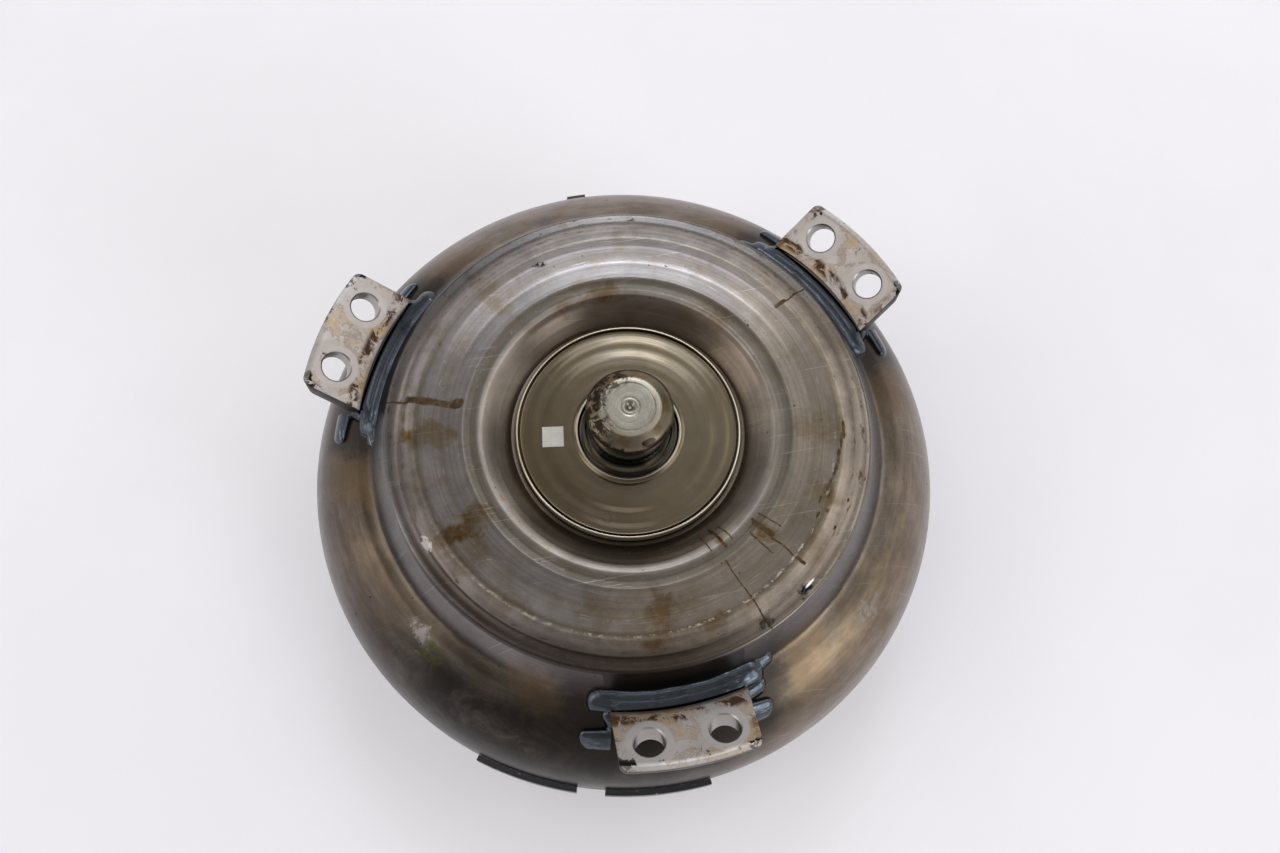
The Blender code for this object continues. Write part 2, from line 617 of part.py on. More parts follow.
def bladed_mesh(name, count, core, back, tips, wall, sweep, rim=None):
    """Blades standing on a ring. core, back and tips are paths with as many points along the flow.

    core is the ring's face under the blades and back its other face. tips is where the blades end, or the
    inner face of an outer ring whose outer face is rim. wall gives the blade's thickness at each step, and
    sweep is how far a blade turns round the axis from its first step to its last.
    """
    bm = bmesh.new()
    last = len(core) - 1

    def columns(path):
        """For each blade the points along both of its sides."""
        rows = []
        for blade in range(count):
            for side in (-0.5, 0.5):
                turn = [
                    math.tau * blade / count + sweep * step / last + side * wall[step] / path[step][0]
                    for step in range(last + 1)
                ]
                rows.append([bm.verts.new(polar(r, a, z)) for (r, z), a in zip(path, turn)])
        return rows

    def skin(first, second, steps=range(last)):
        for step in steps:
            bm.faces.new((first[step], second[step], second[step + 1], first[step + 1]))

    def end(first, second, third, fourth):
        for step in (0, last):
            bm.faces.new((first[step], second[step], third[step], fourth[step]))

    core_rows, back_rows, tip_rows = columns(core), columns(back), columns(tips)
    rim_rows = columns(rim) if rim else None
    for near in range(2 * count):
        far = (near + 1) % (2 * count)
        skin(back_rows[near], back_rows[far])
        end(core_rows[near], core_rows[far], back_rows[far], back_rows[near])
        skin(core_rows[near], tip_rows[near])
        if rim:
            skin(rim_rows[near], rim_rows[far])
            end(tip_rows[near], tip_rows[far], rim_rows[far], rim_rows[near])
        if near % 2:
            skin(core_rows[near], core_rows[far])
            if rim:
                skin(tip_rows[near], tip_rows[far])
        else:
            end(core_rows[near], core_rows[far], tip_rows[far], tip_rows[near])
            if not rim:
                skin(tip_rows[near], tip_rows[far])
    return mesh_from(bm, name)


def make_blade_wheel(name, count, tip_centre, tip_radii, facing, sweep, material, body):
    """The blades and core ring of the impeller, facing -1, or the turbine, facing 1."""
    core_centre = (TORUS_RADIUS, MIDDLE_Z + facing * CORE_SPLIT)
    core = arc(core_centre, (CORE_HALF_WIDTH, facing * CORE_HALF_HEIGHT), 0, CORE_BLADE_END, BLADE_STEPS)
    back_radii = (CORE_HALF_WIDTH - CORE_WALL, facing * (CORE_HALF_HEIGHT - CORE_WALL))
    back = arc(core_centre, back_radii, 0, CORE_BLADE_END, BLADE_STEPS)
    tips = arc(tip_centre, (tip_radii[0], facing * tip_radii[1]), 0, TIP_BLADE_END, BLADE_STEPS)
    wall = [BLADE_WALL] * (BLADE_STEPS + 1)
    place(name, bladed_mesh(name, count, core, back, tips, wall, sweep), material, body)


def make_impeller_blades(surfaces, casing):
    radii = (IMPELLER_INSIDE - TORUS_RADIUS - TIP_CLEARANCE, IMPELLER_DEPTH - RIM_DROP - TIP_CLEARANCE)
    centre = (TORUS_RADIUS, SKIRT_Z)
    make_blade_wheel(
        "impeller_blades", IMPELLER_BLADES, centre, radii, -1, IMPELLER_SWEEP, surfaces["sheet_steel"], casing
    )


def make_turbine(surfaces, turbine):
    rim_z = MIDDLE_Z + CORE_SPLIT
    width = TURBINE_INSIDE - TORUS_RADIUS
    seat_turn = math.pi - math.asin((TURBINE_SEAT_Z - rim_z) / TURBINE_DEPTH)
    bowl = arc((TORUS_RADIUS, rim_z), (width, TURBINE_DEPTH), 0, seat_turn, 6)
    inside = [*bowl, (TURBINE_BOSS + SEAT, TURBINE_SEAT_Z)]
    shell = inside + offset(inside, -TURBINE_WALL)[::-1]
    turned("turbine_shell", shell, surfaces["sheet_steel"], turbine, MIDDLE_SEGMENTS)
    radii = (width - TIP_CLEARANCE, TURBINE_DEPTH - TIP_CLEARANCE)
    make_blade_wheel(
        "turbine_blades",
        TURBINE_BLADES,
        (TORUS_RADIUS, rim_z),
        radii,
        1,
        TURBINE_SWEEP,
        surfaces["sheet_steel"],
        turbine,
    )
    flange_top = TURBINE_HUB_Z + TURBINE_FLANGE_WALL
    groove = SEAL_SIZE + SEAT
    hub = [
        (TURBINE_BORE, TURBINE_HUB_Z),
        (TURBINE_FLANGE_RADIUS, TURBINE_HUB_Z),
        (TURBINE_FLANGE_RADIUS, flange_top),
        (TURBINE_BOSS, flange_top),
        (TURBINE_BOSS, SEAL_Z - groove / 2),
        (TURBINE_BOSS - groove, SEAL_Z - groove / 2),
        (TURBINE_BOSS - groove, SEAL_Z + groove / 2),
        (TURBINE_BOSS, SEAL_Z + groove / 2),
        (TURBINE_BOSS, TURBINE_HUB_TOP_Z),
        (TURBINE_BORE, TURBINE_HUB_TOP_Z),
    ]
    turned("turbine_hub", hub, surfaces["turned_steel"], turbine, SMALL_SEGMENTS, splined(TURBINE_BORE))
    seal_inner = TURBINE_BOSS - SEAL_SIZE
    seal_outer = TURBINE_BOSS + SEAT
    seal_half = (SEAL_SIZE - SEAT) / 2
    seal = [
        (seal_inner, SEAL_Z - seal_half),
        (seal_outer, SEAL_Z - seal_half),
        (seal_outer, SEAL_Z + seal_half),
        (seal_inner, SEAL_Z + seal_half),
    ]
    turned("piston_seal", seal, surfaces["seal_rubber"], turbine, SMALL_SEGMENTS)


def splined(bore):
    """Spline teeth: every second column of the bore is cut deeper."""

    def reshape(radius, height, column):
        deeper = SPLINE_DEPTH if column % 2 and radius < bore + SEAT else 0
        return radius + deeper, height

    return reshape


def spring_places():
    return [math.tau * (number + 0.5) / SPRING_COUNT for number in range(SPRING_COUNT)]


def tongue_places():
    """The piston's tongues each take one column of its rim, by the middle of a spring."""
    column = math.tau / SEGMENTS
    return [column * (math.floor(angle / column) + 0.5) for angle in spring_places()]


def window(angle):
    """The opening for one spring in a damper plate."""
    half_length = SPRING_LENGTH / 2 + SEAT
    low = SPRING_ARM - SPRING_RADIUS - SEAT
    high = SPRING_ARM + SPRING_RADIUS + SEAT
    corners = [(low, -half_length), (high, -half_length), (high, half_length), (low, half_length)]
    return turn_outline(corners, angle)


def make_driven_plate(surfaces, turbine):
    """Dished plate from the turbine hub up to the springs, with a window for each spring."""
    low = TURBINE_SEAT_Z + TURBINE_WALL + SEAT
    high = DAMPER_Z - DRIVEN_WALL / 2
    rise = high - low
    underside = [
        (DRIVEN_BORE, low),
        (DRIVEN_FLAT - rise, low),
        (DRIVEN_FLAT, high),
        (DRIVEN_RADIUS, high),
    ]
    outline = underside + offset(underside, DRIVEN_WALL)[::-1]
    plate = turned("damper_driven_plate", outline, surfaces["sheet_steel"], turbine, MIDDLE_SEGMENTS)
    size = (2 * (SPRING_RADIUS + SEAT), SPRING_LENGTH + 2 * SEAT, 3 * DRIVEN_WALL)
    for number, angle in enumerate(spring_places(), 1):
        turn = Matrix.Rotation(angle, 4, "Z") @ Matrix.Translation((SPRING_ARM, 0, DAMPER_Z))
        cut(plate, f"driven_window_{number}", box_mesh("driven_window", size), turn)


def make_damper_drive(surfaces, damper):
    """Two plates on either side of the driven plate, riveted together outside it, with spring windows."""
    rim = []
    notch = math.pi / SEGMENTS + 3 * SEAT / DRIVE_RADIUS
    floor = DRIVE_RADIUS - PISTON_TONGUE_WALL - 3 * SEAT
    for middle in tongue_places():
        for radius, turn in ((DRIVE_RADIUS, -notch), (floor, -notch), (floor, notch), (DRIVE_RADIUS, notch)):
            rim.append((radius * math.cos(middle + turn), radius * math.sin(middle + turn)))
        span = math.tau / SPRING_COUNT - 2 * notch
        turns = [middle + notch + span * step / DRIVE_RIM_STEPS for step in range(1, DRIVE_RIM_STEPS)]
        rim += [(DRIVE_RADIUS * math.cos(turn), DRIVE_RADIUS * math.sin(turn)) for turn in turns]
    rivet_turns = [math.tau * number / SPRING_COUNT for number in range(SPRING_COUNT)]
    holes = [circle(0, 0, DRIVE_BORE, SMALL_SEGMENTS)]
    holes += [window(angle) for angle in spring_places()]
    for turn in rivet_turns:
        spot = polar(DRIVE_RIVET_PITCH, turn, 0)
        holes.append(circle(spot.x, spot.y, DRIVE_RIVET_RADIUS + SEAT, RIVET_POINTS))
    plate = plate_curve("damper_drive_plate", [rim, *holes], DRIVE_WALL)
    for name, side in (("damper_rear_plate", -1), ("damper_front_plate", 1)):
        stand = Matrix.Translation((0, 0, DAMPER_Z + side * DRIVE_LIFT))
        place(name, plate, surfaces["sheet_steel"], damper, stand)
    seat = DRIVE_LIFT + DRIVE_WALL / 2 + SEAT
    upper_half = [
        (0, seat + DRIVE_RIVET_HEAD),
        (DRIVE_RIVET_HEAD_RADIUS, seat + DRIVE_RIVET_HEAD),
        (DRIVE_RIVET_HEAD_RADIUS, seat),
        (DRIVE_RIVET_RADIUS, seat),
    ]
    lower_half = [(radius, -height) for radius, height in reversed(upper_half)]
    rivet = turned_mesh("damper_rivet", upper_half + lower_half, RIVET_POINTS)
    for number, turn in enumerate(rivet_turns, 1):
        stand = Matrix.Translation(polar(DRIVE_RIVET_PITCH, turn, DAMPER_Z))
        place(f"damper_rivet_{number}", rivet, surfaces["bearing_steel"], damper, stand)


def spring_curve():
    """One compression spring along its own Y axis, as an unbroken tube."""
    mean = SPRING_RADIUS - SPRING_WIRE
    rise = SPRING_LENGTH - 2 * SPRING_WIRE - 2 * SEAT
    count = SPRING_TURNS * SPRING_TURN_POINTS
    points = []
    for step in range(count + 1):
        turn = math.tau * step / SPRING_TURN_POINTS
        points.append((mean * math.cos(turn), rise * (step / count - 0.5), mean * math.sin(turn)))
    least = min(
        (Vector(a) - Vector(b)).length
        for first, a in enumerate(points)
        for b in points[first + SPRING_TURN_POINTS // 2 :]
    )
    print(f"damper spring: least gap between turns {1000 * (least - 2 * SPRING_WIRE):.2f} mm")
    curve = bpy.data.curves.new("damper_spring", "CURVE")
    curve.dimensions = "3D"
    curve.bevel_depth = SPRING_WIRE
    curve.bevel_resolution = 0
    curve.use_fill_caps = True
    spline = curve.splines.new("POLY")
    spline.points.add(count)
    for point, place_on_wire in zip(spline.points, points):
        point.co = (*place_on_wire, 1)
    return curve


def make_springs(surfaces, damper):
    spring = spring_curve()
    for number, angle in enumerate(spring_places(), 1):
        stand = Matrix.Rotation(angle, 4, "Z") @ Matrix.Translation((SPRING_ARM, 0, DAMPER_Z))
        place(f"damper_spring_{number}", spring, surfaces["spring_steel"], damper, stand)


def make_piston(surfaces, piston):
    """Lock-up piston with drive tongues, its friction lining on the cover side."""
    underside = [
        (PISTON_BORE + PISTON_LIP_WALL, PISTON_FLAT_Z - PISTON_LIP),
        (PISTON_BORE + PISTON_LIP_WALL, PISTON_FLAT_Z),
        (PISTON_SLOPE_END, PISTON_FLAT_Z),
        (PISTON_SLOPE_START, PISTON_Z),
        (PISTON_RADIUS - PISTON_TONGUE_WALL, PISTON_Z),
        (PISTON_RADIUS, PISTON_Z),
    ]
    topside = offset(underside[2:], PISTON_WALL)[::-1]
    bore = [
        (PISTON_BORE, PISTON_FLAT_Z + PISTON_WALL),
        (PISTON_BORE, PISTON_FLAT_Z - PISTON_LIP),
    ]
    mesh = turned_mesh("lockup_piston", underside + topside + bore)
    add_tongues(mesh)
    place("lockup_piston", mesh, surfaces["sheet_steel"], piston)
    inner = FACE_INNER + LINING_MARGIN
    outer = FACE_OUTER - LINING_MARGIN
    top = LINING_Z + LINING_WALL
    lining = [(inner, LINING_Z), (outer, LINING_Z), (outer, top), (inner, top)]
    turned("friction_lining", lining, surfaces["friction_paper"], piston, MIDDLE_SEGMENTS)


def add_tongues(mesh):
    """Pulls one column of the piston's lower edge down at each spring, into the front plate's notches."""
    bm = bmesh.new()
    bm.from_mesh(mesh)
    column = math.tau / SEGMENTS
    for angle in tongue_places():
        faces = []
        for face in bm.faces:
            centre = face.calc_center_median()
            flat = all(abs(vert.co.z - PISTON_Z) < SEAT for vert in face.verts)
            outside = centre.xy.length > PISTON_RADIUS - PISTON_TONGUE_WALL
            away = math.remainder(math.atan2(centre.y, centre.x) - angle, math.tau)
            if flat and outside and abs(away) < column / 4:
                faces.append(face)
        grown = bmesh.ops.extrude_face_region(bm, geom=faces)["geom"]
        moved = [item for item in grown if isinstance(item, bmesh.types.BMVert)]
        bmesh.ops.translate(bm, verts=moved, vec=(0, 0, -PISTON_TONGUE))
        bmesh.ops.delete(bm, geom=faces, context="FACES")
    bmesh.ops.recalc_face_normals(bm, faces=bm.faces)
    bm.to_mesh(mesh)
    bm.free()


def make_stator(surfaces, stator, race):
    top = STATOR_Z + STATOR_WIDTH
    inner_race = [(RACE_BORE, STATOR_Z), (RACE_RADIUS, STATOR_Z), (RACE_RADIUS, top), (RACE_BORE, top)]
    steel = surfaces["bearing_steel"]
    turned("stator_inner_race", inner_race, steel, race, SMALL_SEGMENTS, splined(RACE_BORE))
    low = STATOR_Z + WASHER_WALL + SEAT
    high = top - WASHER_WALL - SEAT
    cam = [(CAM_RADIUS, low), (CAM_OUTSIDE, low), (CAM_OUTSIDE, high), (CAM_RADIUS, high)]
    turned("clutch_outer_race", cam, steel, stator, POCKET_COLUMNS * ROLLER_COUNT, pocketed)
    ends = [(0, high - SEAT), (ROLLER_RADIUS, high - SEAT), (ROLLER_RADIUS, low + SEAT), (0, low + SEAT)]
    roller = turned_mesh("clutch_roller", ends, ROLLER_POINTS)
    for number in range(ROLLER_COUNT):
        stand = Matrix.Translation(polar(ROLLER_PITCH, math.tau * number / ROLLER_COUNT, 0))
        place(f"clutch_roller_{number + 1}", roller, steel, stator, stand)
    for name, level in (("stator_rear_washer", STATOR_Z), ("stator_front_washer", high + SEAT)):
        inner = RACE_RADIUS + SEAT
        outer = CAM_OUTSIDE
        washer = [(inner, level), (outer, level), (outer, level + WASHER_WALL), (inner, level + WASHER_WALL)]
        turned(name, washer, surfaces["sheet_steel"], stator, SMALL_SEGMENTS)
    levels = [STATOR_Z + STATOR_WIDTH * step / BLADE_STEPS for step in range(BLADE_STEPS + 1)]
    paths = [[(radius, level) for level in levels] for radius in (STATOR_HUB, STATOR_BORE, STATOR_BLADE_TIP)]
    rim = [(STATOR_RADIUS, level) for level in levels]
    nose = [0.35, 0.75, 1.0, 0.95, 0.5]
    wall = [STATOR_BLADE_WALL * share for share in nose]
    wheel = bladed_mesh("stator_wheel", STATOR_BLADES, *paths, wall, STATOR_SWEEP, rim)
    place("stator_wheel", wheel, surfaces["cast_aluminium"], stator)


def pocketed(radius, height, column):
    """Roller pockets in the outer race, each with a ramp that wedges its roller one way."""
    past_roller = column % POCKET_COLUMNS
    on_ramp = 1 < past_roller < POCKET_COLUMNS - 1 and radius < CAM_RADIUS + CAM_WALL / 2
    ramp = CAM_RAMP * (past_roller - 1) / (POCKET_COLUMNS - 3) if on_ramp else 0
    return radius - ramp, height


def make_bearing(name, inner, outer, level, surfaces, body):
    """A needle thrust bearing: a flat cage with every second column standing out as a needle."""

    def needles(radius, height, column):
        middle = level + BEARING_HEIGHT / 2
        sink = 0 if column % 2 else NEEDLE_STAND
        return radius, height - math.copysign(sink, height - middle)

    top = level + BEARING_HEIGHT
    section = [(inner, level), (outer, level), (outer, top), (inner, top)]
    turned(name, section, surfaces["bearing_steel"], body, SMALL_SEGMENTS, needles)


def main():
    clear_scene()
    surfaces = {name: make_material(name) for name in SURFACES}
    casing = make_axis("casing_axis", 0)
    turbine = make_axis("turbine_axis", TURBINE_HUB_Z)
    damper = make_axis("damper_axis", DAMPER_Z)
    piston = make_axis("piston_axis", PISTON_Z)
    race = make_axis("race_axis", STATOR_Z)
    stator = make_axis("stator_axis", MIDDLE_Z)
    front = make_axis("front_bearing_axis", TURBINE_HUB_TOP_Z + SEAT)
    middle = make_axis("middle_bearing_axis", MIDDLE_BEARING_Z)
    rear = make_axis("rear_bearing_axis", REAR_BEARING_Z)
    make_cover(surfaces, casing)
    make_lugs(surfaces, casing)
    make_lug_welds(surfaces, casing)
    make_weights(surfaces, casing)
    make_impeller_casing(surfaces, casing)
    make_impeller_blades(surfaces, casing)
    make_turbine(surfaces, turbine)
    make_driven_plate(surfaces, turbine)
    make_damper_drive(surfaces, damper)
    make_springs(surfaces, damper)
    make_piston(surfaces, piston)
    make_stator(surfaces, stator, race)
    front_inner = TURBINE_BORE + SPLINE_DEPTH + SEAT
    make_bearing("front_thrust_bearing", front_inner, TURBINE_BOSS, TURBINE_HUB_TOP_Z + SEAT, surfaces, front)
    inner = RACE_BORE + 2 * SPLINE_DEPTH
    outer = HUB_FLANGE_RADIUS - SEAT
    make_bearing("middle_thrust_bearing", inner, outer, MIDDLE_BEARING_Z, surfaces, middle)
    make_bearing("rear_thrust_bearing", inner, outer, REAR_BEARING_Z, surfaces, rear)


main()
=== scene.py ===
"""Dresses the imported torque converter: finer turned and welded pieces, worn steel, studio floor, light and camera."""

import math

import bmesh
import bpy
import numpy as np
from mathutils import Matrix, Vector


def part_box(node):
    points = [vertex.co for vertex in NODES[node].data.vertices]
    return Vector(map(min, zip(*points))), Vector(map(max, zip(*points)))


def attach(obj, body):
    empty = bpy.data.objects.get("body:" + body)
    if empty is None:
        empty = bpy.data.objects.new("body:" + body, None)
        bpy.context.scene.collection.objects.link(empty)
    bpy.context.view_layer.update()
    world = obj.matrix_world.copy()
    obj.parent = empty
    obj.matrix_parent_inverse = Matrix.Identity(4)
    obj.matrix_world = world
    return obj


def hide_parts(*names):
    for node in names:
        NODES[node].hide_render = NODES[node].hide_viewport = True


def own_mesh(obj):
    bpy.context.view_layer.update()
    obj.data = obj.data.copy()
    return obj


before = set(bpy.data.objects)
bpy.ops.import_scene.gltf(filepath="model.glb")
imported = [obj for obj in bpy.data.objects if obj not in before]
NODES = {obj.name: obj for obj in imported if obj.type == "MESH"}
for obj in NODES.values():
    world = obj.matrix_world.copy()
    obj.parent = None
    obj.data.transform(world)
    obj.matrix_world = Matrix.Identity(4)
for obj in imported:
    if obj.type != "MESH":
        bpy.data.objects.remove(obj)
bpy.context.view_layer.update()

# Sizes shared with the solids, in metres
BOLT_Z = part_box("pilot_stub")[1].z - 0.0262
CASE_RADIUS = 0.127
SHOULDER_RADIUS = 0.046
SHOULDER_Z = BOLT_Z - 0.051729
SKIRT_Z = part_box("front_cover")[0].z
COVER_WALL = 0.004
DISC_HOLLOW = BOLT_Z + 0.0020
LUG_TILT = math.radians(25)
LUG_LINE = math.sqrt(0.115**2 - 0.0135**2)
LUG_INNER = 0.1038
LUG_OUTER = 0.125
LUG_HALF_WIDTH = 0.0251
LUG_WALL = 0.008
LUG_ANGLES = [math.radians(-90 + 120 * number) for number in range(3)]
SEAT = 0.0003
NECK_Z = 0.044
NECK_RADIUS = 0.024
NECK_BORE = 0.0195
BOWL_RADIUS = 0.082471
BOWL_DEPTH = 0.022
BLADES = 24
# The camera's ground axes are turned from the part's by this much
VIEW_TURN = math.radians(-15.5)


class Nodes:
    """Short ways to add linked nodes to a tree."""

    def __init__(self, tree):
        self.tree = tree

    def put(self, socket, value):
        if isinstance(value, bpy.types.NodeSocket):
            self.tree.links.new(value, socket)
        else:
            socket.default_value = value

    def node(self, kind, values=(), out=0, **settings):
        made = self.tree.nodes.new("ShaderNode" + kind)
        for key, value in settings.items():
            setattr(made, key, value)
        for key, value in dict(values).items():
            self.put(made.inputs[key], value)
        return made.outputs[out]

    def math(self, way, *values):
        return self.node("Math", enumerate(values), operation=way)

    def fade(self, value, start, end, low=0.0, high=1.0):
        values = {"Value": value, "From Min": start, "From Max": end, "To Min": low, "To Max": high}
        return self.node("MapRange", values, interpolation_type="SMOOTHSTEP")

    def band(self, value, low, high, soft):
        """1 between low and high, fading out over soft on either side."""
        return self.math("MULTIPLY", self.fade(value, low - soft, low), self.fade(value, high + soft, high))

    def mix(self, share, first, second, way="MIX"):
        made = self.tree.nodes.new("ShaderNodeMix")
        made.data_type = "RGBA"
        made.blend_type = way
        for socket, value in ((0, share), (6, first), (7, second)):
            self.put(made.inputs[socket], value)
        return made.outputs[2]

    def blend(self, share, first, second):
        made = self.tree.nodes.new("ShaderNodeMix")
        for socket, value in ((0, share), (2, first), (3, second)):
            self.put(made.inputs[socket], value)
        return made.outputs[0]

    def times(self, *values):
        result = values[0]
        for value in values[1:]:
            result = self.math("MULTIPLY", result, value)
        return result


class Shader(Nodes):
    """A Principled material written as a running colour, roughness and height that masks paint over."""

    def __init__(self, name, colour, roughness, metallic=1.0):
        self.material = bpy.data.materials.new(name)
        self.material.use_nodes = True
        super().__init__(self.material.node_tree)
        self.bsdf = self.tree.nodes["Principled BSDF"]
        self.bsdf.inputs["Metallic"].default_value = metallic
        self.colour = (*colour, 1)
        self.rough = roughness
        self.height = None
        self.coords = self.node("TexCoord", out="Object")

    def noise(self, scale, detail=4.0, rough=0.55, warp=0.0, vector=None, along=None):
        values = {"Scale": scale, "Detail": detail, "Roughness": rough, "Distortion": warp}
        if along is not None:
            return self.node("TexNoise", {**values, "W": along}, noise_dimensions="1D")
        return self.node("TexNoise", {**values, "Vector": vector or self.coords})

    def paint(self, mask, colour=None, rough=None, way="MIX"):
        if colour is not None:
            colour = (*colour, 1) if isinstance(colour, tuple) and len(colour) == 3 else colour
            self.colour = self.mix(mask, self.colour, colour, way)
        if rough is not None:
            self.rough = self.blend(mask, self.rough, rough)

    def darken(self, shade):
        """Multiplies the colour by a grey value."""
        grey = self.node("CombineColor", {0: shade, 1: shade, 2: shade})
        self.colour = self.mix(1.0, self.colour, grey, "MULTIPLY")

    def raise_by(self, value, amount):
        """Adds value times amount, in metres, to the bump height."""
        step = self.math("MULTIPLY", value, amount)
        self.height = step if self.height is None else self.math("ADD", self.height, step)

    def polar(self):
        """Radius, angle and height round the shaft axis."""
        split = self.tree.nodes.new("ShaderNodeSeparateXYZ")
        self.put(split.inputs[0], self.coords)
        x, y, z = split.outputs
        flat = self.node("CombineXYZ", {0: x, 1: y})
        self.radius = self.node("VectorMath", {0: flat}, out="Value", operation="LENGTH")
        self.angle = self.math("ARCTAN2", y, x)
        self.z = z
        self.travel = self.math("SUBTRACT", self.radius, z)
        self.uneven = self.math("MULTIPLY_ADD", self.noise(170.0, 5, 0.65, 0.4), 4.0, -2.0)
        return self

    def arcs(self, turns, radial, detail=3.0):
        """Noise drawn out round the axis, on faces and walls alike."""
        across = self.math("MULTIPLY", self.travel, radial)
        way = self.node("CombineXYZ", {0: self.math("MULTIPLY", self.angle, turns), 1: across})
        return self.noise(1.0, detail, 0.65, 0.0, way)

    def turn_from(self, degrees):
        """How far a point lies round the axis from an angle of the camera's ground frame, in radians, either way."""
        start = math.radians(degrees) + VIEW_TURN
        shifted = self.math("SUBTRACT", self.angle, start)
        return self.math("WRAP", shifted, -math.pi, math.pi)

    def blot(self, degrees, radius, across, along, ragged=0.5, soft=0.35):
        """An uneven spot at an angle and radius, with half sizes round the axis and along the radius, in mm."""
        y = self.math("DIVIDE", self.math("SUBTRACT", self.radius, radius / 1000), along / 1000)
        return self.spot(degrees, across, y, ragged, soft)

    def drip(self, degrees, inner, outer, width, ragged=0.35, soft=0.5):
        """A round-ended streak along the radius, between two radii and with a half width, in mm."""
        middle = (inner + outer) / 2000
        straight = (outer - inner) / 2000 - width / 1000
        off = self.math("ABSOLUTE", self.math("SUBTRACT", self.radius, middle))
        past = self.math("MAXIMUM", self.math("SUBTRACT", off, straight), 0.0)
        return self.spot(degrees, width, self.math("DIVIDE", past, width / 1000), ragged, soft)

    def spot(self, degrees, across, y, ragged, soft):
        x = self.math("MULTIPLY", self.turn_from(degrees), self.math("DIVIDE", self.radius, across / 1000))
        flat = self.node("CombineXYZ", {0: x, 1: y})
        away = self.node("VectorMath", {0: flat}, out="Value", operation="LENGTH")
        away = self.math("MULTIPLY_ADD", self.uneven, ragged, away)
        return self.fade(away, 1.0, 1.0 - soft)

    def scratches(self, turn):
        """Fine straight lines along a direction in the ground plane."""
        way = self.node("Mapping", {0: self.coords, 2: (0, 0, turn), 3: (28.0, 1500.0, 28.0)})
        return self.fade(self.noise(1.0, 1, 0.5, 0.0, way), 0.735, 0.77)

    def ramp(self, value, low, high, stops):
        """A colour that follows a value between low and high through (value, colour) stops."""
        made = self.tree.nodes.new("ShaderNodeValToRGB")
        self.put(made.inputs[0], self.node("MapRange", {"Value": value, "From Min": low, "From Max": high}))
        points = made.color_ramp.elements
        while len(points) < len(stops):
            points.new(1.0)
        for point, (place, colour) in zip(points, stops):
            point.position = (place - low) / (high - low)
            point.color = (*colour, 1)
        return made.outputs[0]

    def done(self, bump=1.0):
        self.put(self.bsdf.inputs["Base Color"], self.colour)
        self.put(self.bsdf.inputs["Roughness"], self.rough)
        if self.height is not None:
            values = {"Height": self.height, "Strength": bump, "Distance": 1.0}
            self.put(self.bsdf.inputs["Normal"], self.node("Bump", values))
        return self.material


def worn_steel(name, dark, light, rough, rings=1.0, blotch=45.0, turns=5.0):
    """Oxidised steel with cloudy tint and, by the share given in rings, lathe lines round the axis."""
    steel = Shader(name, dark, rough).polar()
    cloud = steel.noise(blotch, 6, 0.62, 0.6)
    steel.paint(steel.fade(cloud, 0.3, 0.72), light)
    lathe_lines(steel, rough, rings, turns)
    return steel


def lathe_lines(steel, rough, rings, turns=5.0):
    if rings:
        fine = steel.arcs(turns, 1900.0)
        wide = steel.arcs(turns / 3, 420.0, 2)
        broad = steel.fade(wide, 0.3, 0.7, 1 - 0.10 * rings, 1.0)
        narrow = steel.fade(fine, 0.3, 0.7, -0.08 * rings, 0.13 * rings)
        steel.darken(steel.math("ADD", broad, narrow))
        steel.rough = steel.fade(fine, 0.3, 0.7, rough + 0.05 * rings, rough - 0.03 * rings)
        steel.raise_by(fine, 0.000006 * rings)
        steel.raise_by(wide, 0.000008 * rings)
    steel.raise_by(steel.noise(1100.0, 3, 0.7), 0.000007)


# Cover colour by radius, in metres. Besides the steel's own tones, the stops paint light and shade: painted shade in
# the valley beside the disc rim, painted highlights on the crest near 55 mm and on the ridge near 83 mm, a lighter step
# edge near 91 mm that is wear and painted highlight, and a painted dark crease at the foot of the step wall with a
# painted light line outside it.
COVER_TINTS_AND_PAINTED_LIGHT = (
    (0.0430, (0.125, 0.105, 0.082)),
    (0.0470, (0.180, 0.154, 0.122)),
    (0.0520, (0.270, 0.240, 0.200)),
    (0.0546, (0.285, 0.259, 0.226)),
    (0.0558, (0.230, 0.210, 0.184)),
    (0.0572, (0.150, 0.134, 0.112)),
    (0.0585, (0.112, 0.099, 0.081)),
    (0.0612, (0.102, 0.090, 0.072)),
    (0.0624, (0.165, 0.152, 0.138)),
    (0.0645, (0.202, 0.187, 0.175)),
    (0.0690, (0.172, 0.157, 0.145)),
    (0.0716, (0.165, 0.149, 0.128)),
    (0.0745, (0.150, 0.136, 0.124)),
    (0.0780, (0.145, 0.131, 0.118)),
    (0.0789, (0.118, 0.101, 0.080)),
    (0.0802, (0.175, 0.156, 0.133)),
    (0.0814, (0.290, 0.269, 0.253)),
    (0.0832, (0.335, 0.309, 0.291)),
    (0.0852, (0.300, 0.275, 0.257)),
    (0.0876, (0.165, 0.151, 0.141)),
    (0.0898, (0.130, 0.119, 0.112)),
    (0.0911, (0.200, 0.187, 0.175)),
    (0.0923, (0.142, 0.135, 0.130)),
    (0.0970, (0.124, 0.117, 0.112)),
    (0.0983, (0.060, 0.052, 0.044)),
    (0.0993, (0.240, 0.222, 0.200)),
    (0.1008, (0.155, 0.140, 0.124)),
    (0.1080, (0.186, 0.162, 0.136)),
    (0.1270, (0.188, 0.168, 0.150)),
)


# Radii between which the cover is duller, the width of the change and the roughness there
DULL_BANDS = (
    (0.0400, 0.0520, 0.0020, 0.27),
    (0.0535, 0.0568, 0.0008, 0.32),
    (0.0572, 0.0620, 0.0006, 0.36),
    (0.0745, 0.0792, 0.0030, 0.24),
    (0.0805, 0.0845, 0.0010, 0.38),
)


